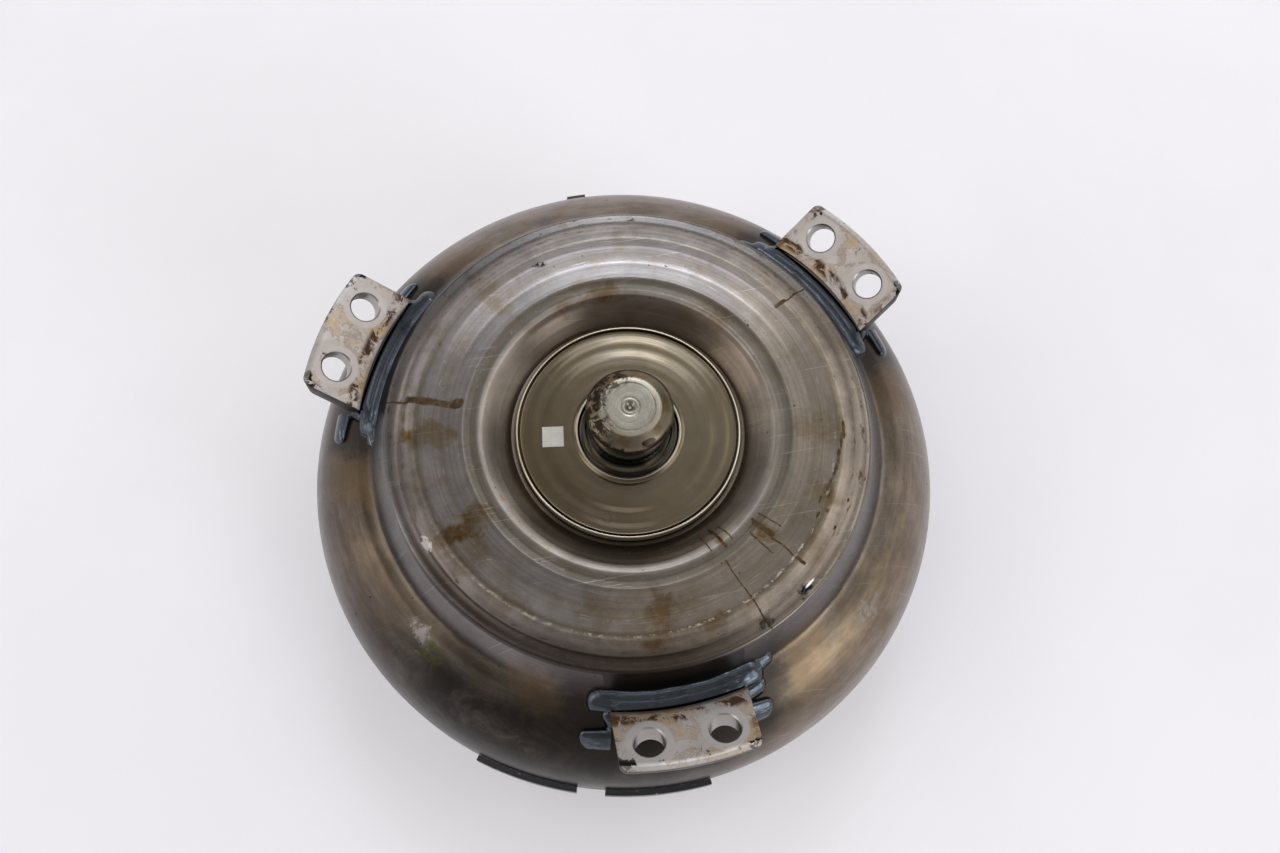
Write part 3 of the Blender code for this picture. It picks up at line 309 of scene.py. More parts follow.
def cover_steel():
    steel = Shader("cover_steel", (0.2, 0.2, 0.2), 0.25).polar()
    radius = steel.radius
    ragged = steel.math("MULTIPLY_ADD", steel.uneven, 0.0003, radius)
    steel.colour = steel.ramp(ragged, 0.04, 0.13, COVER_TINTS_AND_PAINTED_LIGHT)
    steel.darken(steel.fade(steel.noise(45.0, 6, 0.65, 0.6), 0.3, 0.7, 0.84, 1.16))
    steel.paint(1.0, (1.03, 0.99, 0.985), None, "MULTIPLY")
    lathe_lines(steel, 0.17, 0.75, 2.5)
    steel.rough = steel.blend(steel.fade(radius, 0.0787, 0.0805), steel.rough, 0.24)
    for low, high, soft, rough in DULL_BANDS:
        steel.rough = steel.blend(steel.band(radius, low, high, soft), steel.rough, rough)
    shell = steel.fade(radius, 0.0965, 0.1)
    rubbed = steel.noise(60.0, 5, 0.7, 0.6)
    steel.rough = steel.blend(shell, steel.rough, steel.fade(rubbed, 0.3, 0.7, 0.26, 0.34))
    warm = steel.fade(steel.noise(22.0, 5, 0.65, 0.8), 0.44, 0.6)
    steel.paint(steel.times(warm, shell, 0.5), (1.06, 0.96, 0.80), None, "MULTIPLY")
    smear = steel.fade(steel.arcs(7.0, 160.0, 4), 0.36, 0.66, 0.82, 1.16)
    steel.darken(steel.blend(shell, 1.0, smear))
    face = steel.band(radius, 0.0605, 0.0790, 0.001)
    rings = steel.fade(steel.noise(620.0, 4, 0.6, along=radius), 0.34, 0.66, 0.92, 1.07)
    steel.darken(steel.blend(steel.fade(radius, 0.0965, 0.0925), 1.0, rings))
    worn = steel.fade(steel.noise(130.0, 5, 0.75), 0.36, 0.62, 0.8, 1.06)
    steel.darken(steel.blend(steel.band(radius, 0.0795, 0.0850, 0.001), 1.0, worn))
    scratch = steel.fade(steel.arcs(5.0, 2100.0, 2), 0.66, 0.74)
    steel.paint(steel.times(scratch, face, 0.6), (0.42, 0.4, 0.39), 0.2)
    for turn, amount in ((0.3, 0.34), (1.25, 0.28), (2.2, 0.28)):
        steel.paint(steel.times(steel.scratches(turn), amount), (0.4, 0.38, 0.36), 0.25)
    speckle = steel.fade(steel.noise(650.0, 3, 0.7), 0.66, 0.72)
    steel.paint(steel.times(speckle, 0.35), (0.36, 0.34, 0.32), 0.25)
    mottle = steel.fade(steel.noise(75.0, 6, 0.75), 0.5, 0.68)
    steel.paint(steel.times(mottle, 0.6), (0.82, 0.73, 0.57), None, "MULTIPLY")
    cover_painted_light_and_tints(steel)
    cover_stains(steel)
    cover_residue(steel)
    cover_heat_and_shade(steel, rubbed)
    cover_marks(steel)
    pits = steel.fade(steel.noise(420.0, 2, 0.5), 0.735, 0.77)
    steel.paint(steel.times(pits, 0.8), (0.02, 0.016, 0.012), 0.6)
    return steel.done()


def cover_painted_light_and_tints(steel):
    """Broad areas made lighter or darker by angle and radius: painted reflections on the far face, a painted highlight
    on the near crest, darker patches on the far dish, the near-left ridge and the left shoulder, and ochre tints on the
    right: angle, half turn in degrees, radii and tint.
    """
    for degrees, reach, inner, outer, soft, tint in (
        # The two rows at 100 degrees paint a reflection on the far face, and the row at 265 degrees paints a highlight
        # on the near crest.
        (100, 75, 0.0690, 0.0755, 0.0010, (1.90, 1.92, 2.00)),
        (100, 75, 0.0755, 0.0800, 0.0010, (1.25, 1.25, 1.28)),
        (85, 75, 0.0440, 0.0545, 0.0008, (0.50, 0.46, 0.42)),
        (243, 70, 0.0812, 0.0865, 0.0010, (0.50, 0.48, 0.46)),
        (256, 50, 0.0865, 0.0922, 0.0006, (0.34, 0.31, 0.29)),
        (265, 70, 0.0512, 0.0548, 0.0008, (1.80, 1.82, 1.86)),
        (345, 95, 0.0620, 0.0910, 0.0020, (1.02, 0.97, 0.85)),
        (350, 80, 0.0990, 0.1260, 0.0030, (1.03, 0.98, 0.88)),
        (207, 24, 0.1030, 0.1260, 0.0030, (0.60, 0.57, 0.54)),
        (215, 45, 0.0975, 0.1030, 0.0020, (0.55, 0.52, 0.48)),
    ):
        edge = math.cos(math.radians(reach))
        near = steel.fade(steel.math("COSINE", steel.turn_from(degrees)), edge, (edge + 2) / 3)
        steel.paint(steel.times(near, steel.band(steel.radius, inner, outer, soft)), tint, None, "MULTIPLY")


def cover_stains(steel):
    """Oil stains that tint the steel and rusty streaks that cover it, at angles of the camera's ground frame."""
    olive, brown, rust = (0.68, 0.59, 0.41), (0.62, 0.48, 0.29), (0.040, 0.024, 0.013)
    patchy = steel.fade(steel.noise(260.0, 5, 0.7), 0.3, 0.62, 0.65, 1.15)
    for degrees, place, across, along, strength, tint in (
        (140, 76, 7, 13, 0.6, olive),
        (104, 56, 12, 6, 0.9, brown),
        (112, 62, 6, 4, 0.4, brown),
        (189, 73, 7, 15, 1.0, olive),
        (188, 83.5, 3.0, 2.6, 1.0, brown),
        (183, 84.3, 6, 1.2, 0.9, brown),
        (218.5, 68, 8, 13, 1.0, brown),
        (219, 77, 6, 10, 0.9, brown),
        (226, 75, 9, 11, 0.7, olive),
        (284.4, 71, 7, 13, 0.9, brown),
        (281, 83, 5, 3, 0.8, brown),
        (266, 70, 9, 13, 0.5, olive),
        (326, 63, 6, 7, 1.0, brown),
        (5, 72, 9, 14, 0.5, olive),
        (58, 56, 8, 6, 0.7, brown),
        (122, 56, 6, 5, 0.6, brown),
        (161, 79, 1.8, 1.6, 1.0, brown),
        (140, 88, 3, 2, 0.8, olive),
        (297, 80, 9, 4, 0.7, olive),
        (345, 77, 6, 9, 0.8, olive),
        (245, 78, 10, 5, 0.5, olive),
        (312, 55, 3.5, 5, 0.9, brown),
    ):
        mask = steel.times(steel.blot(degrees, place, across, along, 0.6, 0.8), patchy, strength)
        steel.paint(mask, tint, None, "MULTIPLY")
    wander = steel.math("MULTIPLY", steel.math("SUBTRACT", steel.noise(130.0, 3, 0.6), 0.5), 0.03)
    steel.angle = steel.math("ADD", steel.angle, wander)
    streaks = [
        steel.drip(178.4, 62.5, 85, 2.0),
        steel.blot(177.6, 65, 2.8, 3.0),
        steel.drip(179.4, 83, 94, 0.5),
        steel.drip(46, 75, 81.5, 1.2),
        steel.drip(45.7, 80, 91, 0.5),
        steel.drip(309, 62, 92, 0.4),
        steel.drip(325.5, 58, 83, 0.6),
        steel.drip(326.5, 57, 68, 1.1),
        steel.drip(330, 58, 68, 0.5),
        steel.drip(322, 60, 72, 0.4),
        steel.drip(312.3, 48, 59, 0.7),
        steel.drip(307, 49, 57, 0.4),
        steel.drip(316, 50, 58, 0.4),
    ]
    for degrees, place, across, along in (
        (4.5, 80.9, 4.8, 0.8),
        (0.5, 79.9, 4.6, 0.7),
        (356.5, 79.2, 4.6, 0.9),
        (352.5, 78.5, 4.4, 0.7),
        (348.5, 77.8, 3.8, 0.9),
        (345, 78.2, 2.6, 0.8),
        (343, 76.0, 1.6, 0.5),
        (341, 79.8, 1.2, 1.2),
        (339, 77.4, 1.8, 0.6),
        (338, 85.0, 1.4, 0.8),
        (346, 86.0, 1.2, 0.7),
    ):
        streaks.append(steel.blot(degrees, place, across, along, 0.6, 0.5))
    crusty = steel.fade(steel.noise(480.0, 4, 0.7), 0.34, 0.56, 0.55, 1.0)
    for mask in streaks:
        steel.paint(steel.times(mask, crusty), rust, 0.45)
        steel.paint(steel.times(steel.fade(mask, 0.85, 1.0), 0.3), (0.105, 0.066, 0.034))


def cover_residue(steel):
    """The flaky line left at the edge of the machined face and the soot outside it."""
    wavy = steel.math("MULTIPLY_ADD", steel.uneven, 0.0003, steel.radius)
    off_centre = steel.math("MULTIPLY_ADD", steel.math("COSINE", steel.turn_from(195)), -0.0017, wavy)
    flakes = steel.fade(steel.noise(330.0, 5, 0.7), 0.48, 0.62)
    nearer = steel.fade(steel.math("COSINE", steel.turn_from(286)), 0.0, 0.85)
    residue = steel.times(steel.band(off_centre, 0.0790, 0.0796, 0.0003), flakes, nearer)
    steel.paint(steel.times(residue, 0.6), (0.46, 0.42, 0.34), 0.5)
    smoke = steel.fade(steel.arcs(14.0, 420.0), 0.56, 0.7)
    soot = steel.times(steel.band(steel.radius, 0.0848, 0.0905, 0.001), smoke)
    steel.paint(steel.times(soot, 0.7), (0.035, 0.028, 0.022), 0.45)


def cover_heat_and_shade(steel, rubbed):
    """Dark scale and straw tints round the lug welds, a painted dark reflection and shade on the step wall behind each
    lug, and dirt with painted shade on the near shoulder.
    """
    radius = steel.radius
    arc = steel.math("MULTIPLY", lug_turn(steel), radius)
    smoky = steel.math("MULTIPLY_ADD", steel.uneven, 0.004, arc)
    heat = steel.times(steel.fade(smoky, 0.062, 0.034), steel.band(radius, 0.097, 0.116, 0.01))
    steel.paint(steel.times(heat, 0.9), (0.033, 0.026, 0.022), 0.34)
    straw = steel.times(steel.band(smoky, 0.047, 0.058, 0.008), steel.band(radius, 0.1, 0.114, 0.008))
    steel.paint(steel.times(straw, 0.4), (0.17, 0.11, 0.055), 0.28)
    # Painted reflection and shade: a dark patch on the step wall behind each lug, standing in for the lug and weld
    # mirrored there.
    wall = steel.times(steel.fade(arc, 0.0262, 0.0256), steel.band(radius, 0.0925, 0.102, 0.0006))
    steel.paint(steel.times(wall, 0.85), (0.03, 0.026, 0.025), 0.34)
    # Dirt and painted shade: the shoulder is darker on its near side.
    facing = steel.fade(steel.math("COSINE", steel.turn_from(259)), 0.62, 0.96)
    grime_and_shade = steel.times(facing, steel.fade(radius, 0.097, 0.112), steel.fade(rubbed, 0.25, 0.6, 0.7, 1.0))
    steel.paint(grime_and_shade, (0.024, 0.020, 0.017), 0.34)


def lug_turn(steel):
    """The angle round the axis from the nearest lug's middle, either way."""
    return steel.math("PINGPONG", steel.math("ADD", steel.angle, math.pi / 2 + 2 * math.pi), math.pi / 3)


def cover_marks(steel):
    """Scuffs and bare patches, and one paler patch that also paints the right shoulder's highlight."""
    broken = steel.fade(steel.noise(380.0, 4, 0.7), 0.40, 0.54)
    for degrees, place, across, along, strength, tint, finish in (
        (230, 107, 6, 4, 0.5, (0.33, 0.30, 0.31), 0.4),
        (234, 108, 7, 4, 0.8, (0.06, 0.065, 0.02), 0.4),
        (320.5, 88.6, 4.4, 2.6, 1.0, (0.008, 0.008, 0.007), 0.5),
        (309.4, 89, 3.4, 2.2, 0.9, (0.025, 0.022, 0.018), 0.5),
        (122.5, 76, 2.4, 1.7, 1.0, (0.02, 0.018, 0.015), 0.5),
        # A paler patch of bare steel under the right shoulder's highlight, which also paints that highlight.
        (329.5, 112, 7, 4, 0.5, (0.3, 0.27, 0.24), 0.4),
        (218, 86, 4.5, 1.6, 0.7, (0.46, 0.43, 0.43), 0.35),
    ):
        mask = steel.times(steel.blot(degrees, place, across, along, 0.8, 0.5), broken, strength)
        steel.paint(mask, tint, finish)
    gleam = steel.blot(323, 88.4, 2.6, 0.5, 0.3, 0.5)
    steel.paint(gleam, (0.75, 0.73, 0.72), 0.3)


def disc_steel():
    steel = worn_steel("disc_steel", (0.084, 0.064, 0.033), (0.108, 0.084, 0.048), 0.17, 0.9, 60.0, 2.5)
    lift = steel.math("SUBTRACT", steel.z, BOLT_Z)
    steel.bsdf.inputs["Coat Weight"].default_value = 0.8
    steel.bsdf.inputs["Coat Roughness"].default_value = 0.06
    wall = steel.times(steel.fade(lift, 0.0022, 0.0014), steel.fade(steel.radius, 0.0418, 0.0424))
    steel.paint(wall, (0.15, 0.128, 0.098), 0.3)
    # Painted highlight: a bright line along the disc's rim.
    rim = steel.times(steel.band(steel.radius, 0.0417, 0.0425, 0.0003), steel.fade(lift, 0.0022, 0.0027))
    steel.paint(rim, (0.62, 0.57, 0.47), 0.22)
    # Painted highlight: a bright thin line on the lip round the pilot.
    lip = steel.band(steel.radius, 0.0192, 0.0199, 0.0002)
    steel.paint(lip, (0.42, 0.37, 0.29), 0.2)
    oil = steel.fade(steel.radius, 0.0193, 0.0189)
    steel.paint(oil, (0.065, 0.054, 0.042), 0.14)
    stain = steel.math("SUBTRACT", steel.blot(262.3, 35.6, 1.9, 1.9, 0.2, 0.15), steel.blot(262.3, 35.6, 1.5, 1.5, 0.2, 0.15))
    steel.paint(steel.times(stain, 0.9), (0.05, 0.028, 0.012), 0.4)
    shade = steel.fade(steel.noise(35.0, 4, 0.6, 0.6), 0.4, 0.65)
    steel.paint(steel.times(shade, 0.6), (0.96, 0.80, 0.56), None, "MULTIPLY")
    specks = steel.fade(steel.noise(520.0, 3, 0.6), 0.68, 0.74)
    steel.paint(steel.times(specks, 0.5), (0.04, 0.032, 0.022), 0.4)
    return steel.done()


def pilot_steel():
    steel = worn_steel("pilot_steel", (0.225, 0.201, 0.158), (0.30, 0.272, 0.220), 0.24, 1.6, 150.0, 0.8)
    lift = steel.math("SUBTRACT", steel.z, BOLT_Z)
    side = steel.fade(steel.radius, 0.0106, 0.0118)
    steel.paint(steel.times(side, 0.9), (0.085, 0.068, 0.042), 0.32)
    steel.paint(steel.times(side, steel.fade(lift, 0.0208, 0.0222)), (0.165, 0.138, 0.095), 0.3)
    # Painted highlight: a brighter ring at the edge of the pilot's top.
    edge = steel.times(steel.band(steel.radius, 0.0106, 0.0115, 0.0005), steel.fade(lift, 0.0245, 0.0257))
    steel.paint(steel.times(edge, 0.6), (0.34, 0.30, 0.23), 0.24)
    pitted = steel.fade(steel.noise(300.0, 5, 0.72, 0.6), 0.46, 0.55)
    cone = steel.fade(lift, 0.0190, 0.0212)
    worse = steel.fade(steel.math("COSINE", steel.turn_from(172)), -0.1, 0.8)
    steel.paint(steel.times(pitted, side, cone, worse), (0.022, 0.014, 0.009), 0.5)
    rim_pits = steel.times(pitted, steel.fade(steel.radius, 0.0074, 0.0096), worse)
    steel.paint(steel.times(rim_pits, 0.85), (0.03, 0.022, 0.015), 0.5)
    low = steel.band(lift, 0.0200, 0.0228, 0.0012)
    front = steel.fade(steel.math("COSINE", steel.turn_from(268)), -0.1, 0.5)
    steel.paint(steel.times(low, front, steel.fade(steel.noise(190.0, 5, 0.7, 0.5), 0.42, 0.52)), (0.03, 0.02, 0.012), 0.35)
    steel.paint(steel.times(steel.blot(303, 14.6, 3.2, 1.3, 0.3, 0.3), cone), (0.035, 0.025, 0.018), 0.2)
    rusty = steel.fade(steel.noise(110.0, 4, 0.6), 0.5, 0.6)
    steel.paint(steel.times(rusty, side, 0.6), (0.8, 0.55, 0.3), None, "MULTIPLY")
    drop = steel.math("MULTIPLY_ADD", steel.noise(160.0, 4), 0.0035, lift)
    oil = steel.fade(drop, 0.0222, 0.0208)
    steel.paint(oil, (0.017, 0.014, 0.012), 0.12)
    foot = steel.fade(lift, 0.0068, 0.0056)
    steel.paint(steel.times(foot, 0.8), (0.16, 0.145, 0.12), 0.13)
    return steel.done()


def lug_steel():
    steel = Shader("lug_steel", (0.335, 0.302, 0.275), 0.36).polar()
    cloud = steel.noise(75.0, 6, 0.6, 0.8)
    steel.paint(steel.fade(cloud, 0.38, 0.7), (0.385, 0.352, 0.330), 0.31)
    turn = lug_turn(steel)
    arc = steel.math("MULTIPLY", turn, steel.radius)
    x = steel.math("MULTIPLY_ADD", steel.radius, steel.math("SINE", turn), -0.0135)
    y = steel.math("MULTIPLY_ADD", steel.radius, steel.math("COSINE", turn), -LUG_LINE)
    y = steel.math("DIVIDE", y, math.cos(LUG_TILT))
    flat = steel.node("CombineXYZ", {0: x, 1: y})
    hole = steel.node("VectorMath", {0: flat}, out="Value", operation="LENGTH")
    rust_noise = steel.noise(150.0, 7, 0.7, 0.8)
    soft_noise = steel.noise(60.0, 6, 0.7, 0.3)
    away = steel.fade(hole, 0.0080, 0.0092)
    stain = steel.times(steel.fade(soft_noise, 0.48, 0.60), away, 0.8)
    steel.paint(stain, (0.88, 0.69, 0.42), None, "MULTIPLY")
    outline = steel.times(steel.band(soft_noise, 0.50, 0.51, 0.02), away, 0.4)
    steel.paint(outline, (0.17, 0.105, 0.055), 0.5)
    inner = steel.band(steel.radius, 0.1060, 0.1078, 0.0018)
    rusty = steel.times(inner, away, steel.fade(rust_noise, 0.45, 0.52), steel.fade(soft_noise, 0.38, 0.48))
    steel.paint(steel.times(rusty, 0.95), (0.065, 0.030, 0.015), 0.6)
    sides = steel.times(steel.fade(arc, 0.0215, 0.0245), steel.fade(rust_noise, 0.49, 0.57))
    steel.paint(steel.times(sides, 0.7), (0.11, 0.055, 0.027), 0.6)
    washer = steel.fade(hole, 0.0085, 0.0079)
    steel.paint(steel.times(washer, 0.35), (0.36, 0.345, 0.34), 0.3)
    outer = steel.fade(steel.radius, 0.1175, 0.1245)
    corner = steel.fade(steel.math("ADD", outer, steel.fade(arc, 0.016, 0.026)), 0.9, 1.9)
    chips = steel.math("MULTIPLY_ADD", corner, 0.16, steel.noise(230.0, 5, 0.65, 0.5))
    black = steel.times(steel.fade(chips, 0.60, 0.64), steel.fade(steel.radius, 0.1175, 0.122))
    steel.paint(black, (0.015, 0.013, 0.012), 0.6)
    strip = steel.fade(steel.radius, 0.1229, 0.1231)
    steel.paint(steel.times(strip, 0.3), (0.44, 0.41, 0.375), 0.38)
    steel.raise_by(steel.noise(500.0, 3, 0.6), 0.00001)
    return steel.done()


def scale_steel():
    steel = Shader("scale_steel", (0.05, 0.047, 0.045), 0.5)
    steel.paint(steel.fade(steel.noise(180.0, 6, 0.65), 0.46, 0.68), (0.085, 0.076, 0.070), 0.42)
    steel.raise_by(steel.noise(420.0, 4, 0.6), 0.00003)
    return steel.done()


def weld_metal():
    weld = Shader("weld_metal", (0.066, 0.074, 0.087), 0.2).polar()
    weld.paint(weld.fade(weld.noise(90.0, 4, 0.6), 0.45, 0.7), (0.036, 0.040, 0.048), 0.26)
    along = weld.math("WRAP", weld.math("ADD", weld.angle, math.pi / 2), -math.pi / 3, math.pi / 3)
    later = weld.fade(along, 0.0, 0.24, 0.35, 1.0)
    streak = weld.fade(weld.arcs(22.0, 900.0, 5), 0.53, 0.70)
    patch = weld.fade(weld.noise(70.0, 3), 0.42, 0.6)
    weld.paint(weld.times(streak, patch, later), (0.36, 0.375, 0.39), 0.32)
    weld.raise_by(weld.noise(500.0, 4, 0.6), 0.00002)
    return weld.done()


def strip_paint():
    paint = Shader("strip_paint", (0.010, 0.011, 0.013), 0.3, 0.2)
    paint.paint(paint.fade(paint.noise(300.0, 5, 0.7), 0.62, 0.70), (0.22, 0.2, 0.19), 0.5)
    paint.raise_by(paint.noise(600.0, 3), 0.00001)
    return paint.done()


def plain_steel(name, colour, rough, rings=0.5):
    lighter = tuple(1.25 * part for part in colour)
    return worn_steel(name, colour, lighter, rough, rings, 60.0).done()


def plain_matt(name, colour, lighter, rough, scale):
    matt = Shader(name, colour, rough, 0.0)
    matt.paint(matt.fade(matt.noise(scale, 6, 0.7), 0.35, 0.7), lighter)
    matt.raise_by(matt.noise(scale * 2, 4, 0.7), 0.00002)
    return matt.done()


def mesh_object(name, points, faces, material, smooth=30):
    mesh = bpy.data.meshes.new(name)
    mesh.from_pydata(points, [], faces)
    mesh.update()
    return finish_mesh(name, mesh, material, smooth)


def finish_mesh(name, mesh, material, smooth=30, *more):
    kept = [polygon.material_index for polygon in mesh.polygons] if more else None
    mesh.materials.clear()
    for each in (material, *more):
        mesh.materials.append(each)
    if kept:
        mesh.polygons.foreach_set("material_index", kept)
    mesh.shade_smooth()
    mesh.set_sharp_from_angle(angle=math.radians(smooth))
    piece = bpy.data.objects.new(name, mesh)
    bpy.context.scene.collection.objects.link(piece)
    return piece


def dress(piece, body, *nodes):
    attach(piece, body)
    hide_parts(*nodes)
    return piece


def lathe(name, outline, material, segments=256, reshape=None, smooth=30):
    """Spins a closed outline of (radius, height) points. Points on the axis become one point each."""
    outline = np.array(outline, float)
    turns = np.linspace(0, math.tau, segments, endpoint=False)
    count = len(outline)
    radius = np.repeat(outline[:, 0][:, None], segments, 1)
    height = np.repeat(outline[:, 1][:, None], segments, 1)
    if reshape:
        radius, height = reshape(radius, height, np.repeat(turns[None, :], count, 0))
    grid = np.stack([radius * np.cos(turns), radius * np.sin(turns), height], -1)
    on_axis = outline[:, 0] < 1e-9
    points, index = [], np.zeros((count, segments), int)
    for row in range(count):
        if on_axis[row]:
            index[row] = len(points)
            points.append(tuple(grid[row, 0]))
        else:
            index[row] = len(points) + np.arange(segments)
            points.extend(map(tuple, grid[row]))
    faces = []
    rows = range(count - 1) if on_axis[0] else range(count)
    for row in rows:
        after = (row + 1) % count
        if on_axis[row] and on_axis[after]:
            continue
        here, there = index[row], index[after]
        for column in range(segments):
            beyond = (column + 1) % segments
            face = [here[column], there[column], there[beyond], here[beyond]]
            faces.append([p for number, p in enumerate(face) if p not in face[:number]])
    piece = mesh_object(name, points, faces, material, smooth)
    bm = bmesh.new()
    bm.from_mesh(piece.data)
    bmesh.ops.recalc_face_normals(bm, faces=bm.faces)
    bm.to_mesh(piece.data)
    bm.free()
    piece.data.shade_smooth()
    piece.data.set_sharp_from_angle(angle=math.radians(smooth))
    return piece


def rounded(corners, steps=6):
    """A path through (x, y, fillet) corners with an arc at each that has a fillet."""
    path = []
    for index, (x, y, fillet) in enumerate(corners):
        here = Vector((x, y))
        if not fillet or index in (0, len(corners) - 1):
            path.append((x, y))
            continue
        back = Vector(corners[index - 1][:2]) - here
        ahead = Vector(corners[index + 1][:2]) - here
        half = back.angle(ahead) / 2
        reach = min(fillet / math.tan(half), 0.48 * back.length, 0.48 * ahead.length)
        centre = here + (back.normalized() + ahead.normalized()).normalized() * reach / math.cos(half)
        first = here + back.normalized() * reach - centre
        turn = first.angle_signed(here + ahead.normalized() * reach - centre)
        for step in range(steps + 1):
            spoke = first.copy()
            spoke.rotate(Matrix.Rotation(-turn * step / steps, 2))
            path.append(tuple(centre + spoke))
    return path


def closer(path, most):
    """The same path with points no further apart than most."""
    result = [path[0]]
    for start, end in zip(path, path[1:]):
        parts = max(1, math.ceil(math.dist(start, end) / most))
        for part in range(1, parts + 1):
            share = part / parts
            result.append(tuple(a + (b - a) * share for a, b in zip(start, end)))
    return result


def shoulder_height(radius, lift=0.0):
    return SHOULDER_Z + math.sqrt((SHOULDER_RADIUS + lift) ** 2 - (radius - CASE_RADIUS + SHOULDER_RADIUS) ** 2)


def make_cover(material):
    centre = CASE_RADIUS - SHOULDER_RADIUS
    front = [
        (0.0430, BOLT_Z - 0.0014, 0),
        (0.0444, BOLT_Z - 0.0012, 0.0012),
        (0.0495, BOLT_Z + 0.0022, 0.020),
        (0.0530, BOLT_Z + 0.0051, 0.012),
        (0.0558, BOLT_Z + 0.0065, 0.006),
        (0.0593, BOLT_Z + 0.0061, 0.008),
        (0.0622, BOLT_Z + 0.0065, 0.0012),
        (0.0700, BOLT_Z + 0.0065, 0.050),
        (0.0815, BOLT_Z + 0.0072, 0.011),
        (0.0870, BOLT_Z + 0.0048, 0.010),
        (0.0916, BOLT_Z + 0.0046, 0.0014),
        (0.0985, shoulder_height(0.0985), 0.0045),
        (0.1060, shoulder_height(0.1060), 0),
    ]
    landing = math.acos((0.1060 - centre) / SHOULDER_RADIUS)
    turns = np.linspace(landing, 0, 40)
    shoulder = [(centre + SHOULDER_RADIUS * math.cos(a), SHOULDER_Z + SHOULDER_RADIUS * math.sin(a)) for a in turns]
    outside = closer(rounded(front)[:-1] + shoulder + [(CASE_RADIUS, SKIRT_Z)], 0.0015)
    inner = SHOULDER_RADIUS - COVER_WALL
    inside = [(centre + inner * math.cos(a), SHOULDER_Z + inner * math.sin(a)) for a in np.linspace(0, landing, 14)]
    inside += [
        (0.0918 - COVER_WALL, BOLT_Z + 0.0016),
        (0.0843, BOLT_Z + 0.0025),
        (0.0620, BOLT_Z + 0.0025),
        (0.0560, BOLT_Z + 0.0012),
        (0.0500, BOLT_Z - 0.007),
        (0.0430, BOLT_Z - 0.007),
    ]
    outline = outside + [(CASE_RADIUS - COVER_WALL, SKIRT_Z)] + inside
    return dress(lathe("cover", outline, material, 320), "casing", "front_cover")


def disc_face(radius):
    """Height of the disc's turned face: two soft outward falls and the waves of the cut."""
    fall = 0
    for start, end, slope in ((0.0288, 0.0342, 0.10), (0.0354, 0.0402, 0.10)):
        width = end - start
        share = np.clip((radius - start) / width, 0, 1)
        fall = fall + slope * width * (share / 2 - np.sin(math.tau * share) / (2 * math.tau))
    wave = 0.000007 * np.sin(math.tau * (radius - 0.0212) / 0.0046)
    return DISC_HOLLOW - fall + wave


def make_disc(material):
    rim = BOLT_Z + 0.0026
    lip = [
        (0.0161, DISC_HOLLOW - 0.0014, 0),
        (0.0187, DISC_HOLLOW - 0.0014, 0.0004),
        (0.0191, DISC_HOLLOW + 0.0005, 0.0003),
        (0.0199, DISC_HOLLOW + 0.0005, 0.0004),
        (0.0212, DISC_HOLLOW, 0),
    ]
    spokes = np.linspace(0.0212, 0.0400, 90)
    face = list(zip(spokes, disc_face(spokes)))
    edge = [
        (*face[-1], 0),
        (0.0408, face[-1][1], 0.0012),
        (0.0419, rim, 0.0004),
        (0.0425, rim - 0.0001, 0.0006),
        (0.0427, rim - 0.0012, 0.0008),
        (0.0427, BOLT_Z - 0.0073, 0),
    ]
    outline = rounded(lip, 5) + face[1:] + rounded(edge, 5)[1:]
    outline += [(0.0460, BOLT_Z - 0.0073), (0.0460, BOLT_Z - 0.0103), (0.0161, BOLT_Z - 0.0103)]
    return dress(lathe("hub_disc", outline, material, 256), "casing", "centre_disc")


def make_square(material):
    """A plain pale square where the photographed disc carries a marking."""
    turn = math.radians(191.4) + VIEW_TURN
    half, thick = 0.0040, 0.0005
    points, faces = box_faces((2 * half, 2 * half, thick))
    square = mesh_object("pale_square", points, faces, material)
    square.location = round_axis(0.0286, turn, DISC_HOLLOW + 0.0001 - thick / 2)
    square.rotation_euler.z = VIEW_TURN + math.radians(8)
    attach(square, "casing")


def make_pilot(material):
    top = BOLT_Z + 0.0262
    outline = [(0, top - 0.0014), (0.0006, top - 0.0014), (0.0016, top - 0.0003), (0.0022, top)]
    outline += closer(
        rounded(
            [
                (0.0028, top, 0),
                (0.0034, top - 0.0001, 0.0005),
                (0.0040, top, 0.0005),
                (0.0090, top, 0.0002),
                (0.0093, top - 0.0002, 0.0002),
                (0.0096, top, 0.0002),
                (0.0114, top - 0.0001, 0.0009),
                (0.0148, top - 0.0021, 0.006),
                (0.0163, top - 0.0042, 0.0016),
                (0.0157, top - 0.0064, 0.003),
                (0.0156, DISC_HOLLOW + 0.0062, 0.002),
                (0.0165, DISC_HOLLOW + 0.0030, 0.0004),
                (0.0177, DISC_HOLLOW + 0.0014, 0.0006),
                (0.0177, DISC_HOLLOW - 0.0013, 0),
            ],
            6,
        ),
        0.001,
    )
    outline += [(0.0158, DISC_HOLLOW - 0.0013), (0.0158, BOLT_Z - 0.0103), (0, BOLT_Z - 0.0103)]
    return dress(lathe("pilot", outline, material, 160), "casing", "pilot_stub")


def evaluated(piece, name, material, smooth=30):
    """A new piece from another with its modifiers applied. The first is deleted."""
    bpy.context.view_layer.update()
    mesh = bpy.data.meshes.new_from_object(piece.evaluated_get(bpy.context.evaluated_depsgraph_get()))
    bpy.data.objects.remove(piece)
    return finish_mesh(name, mesh, material, smooth)


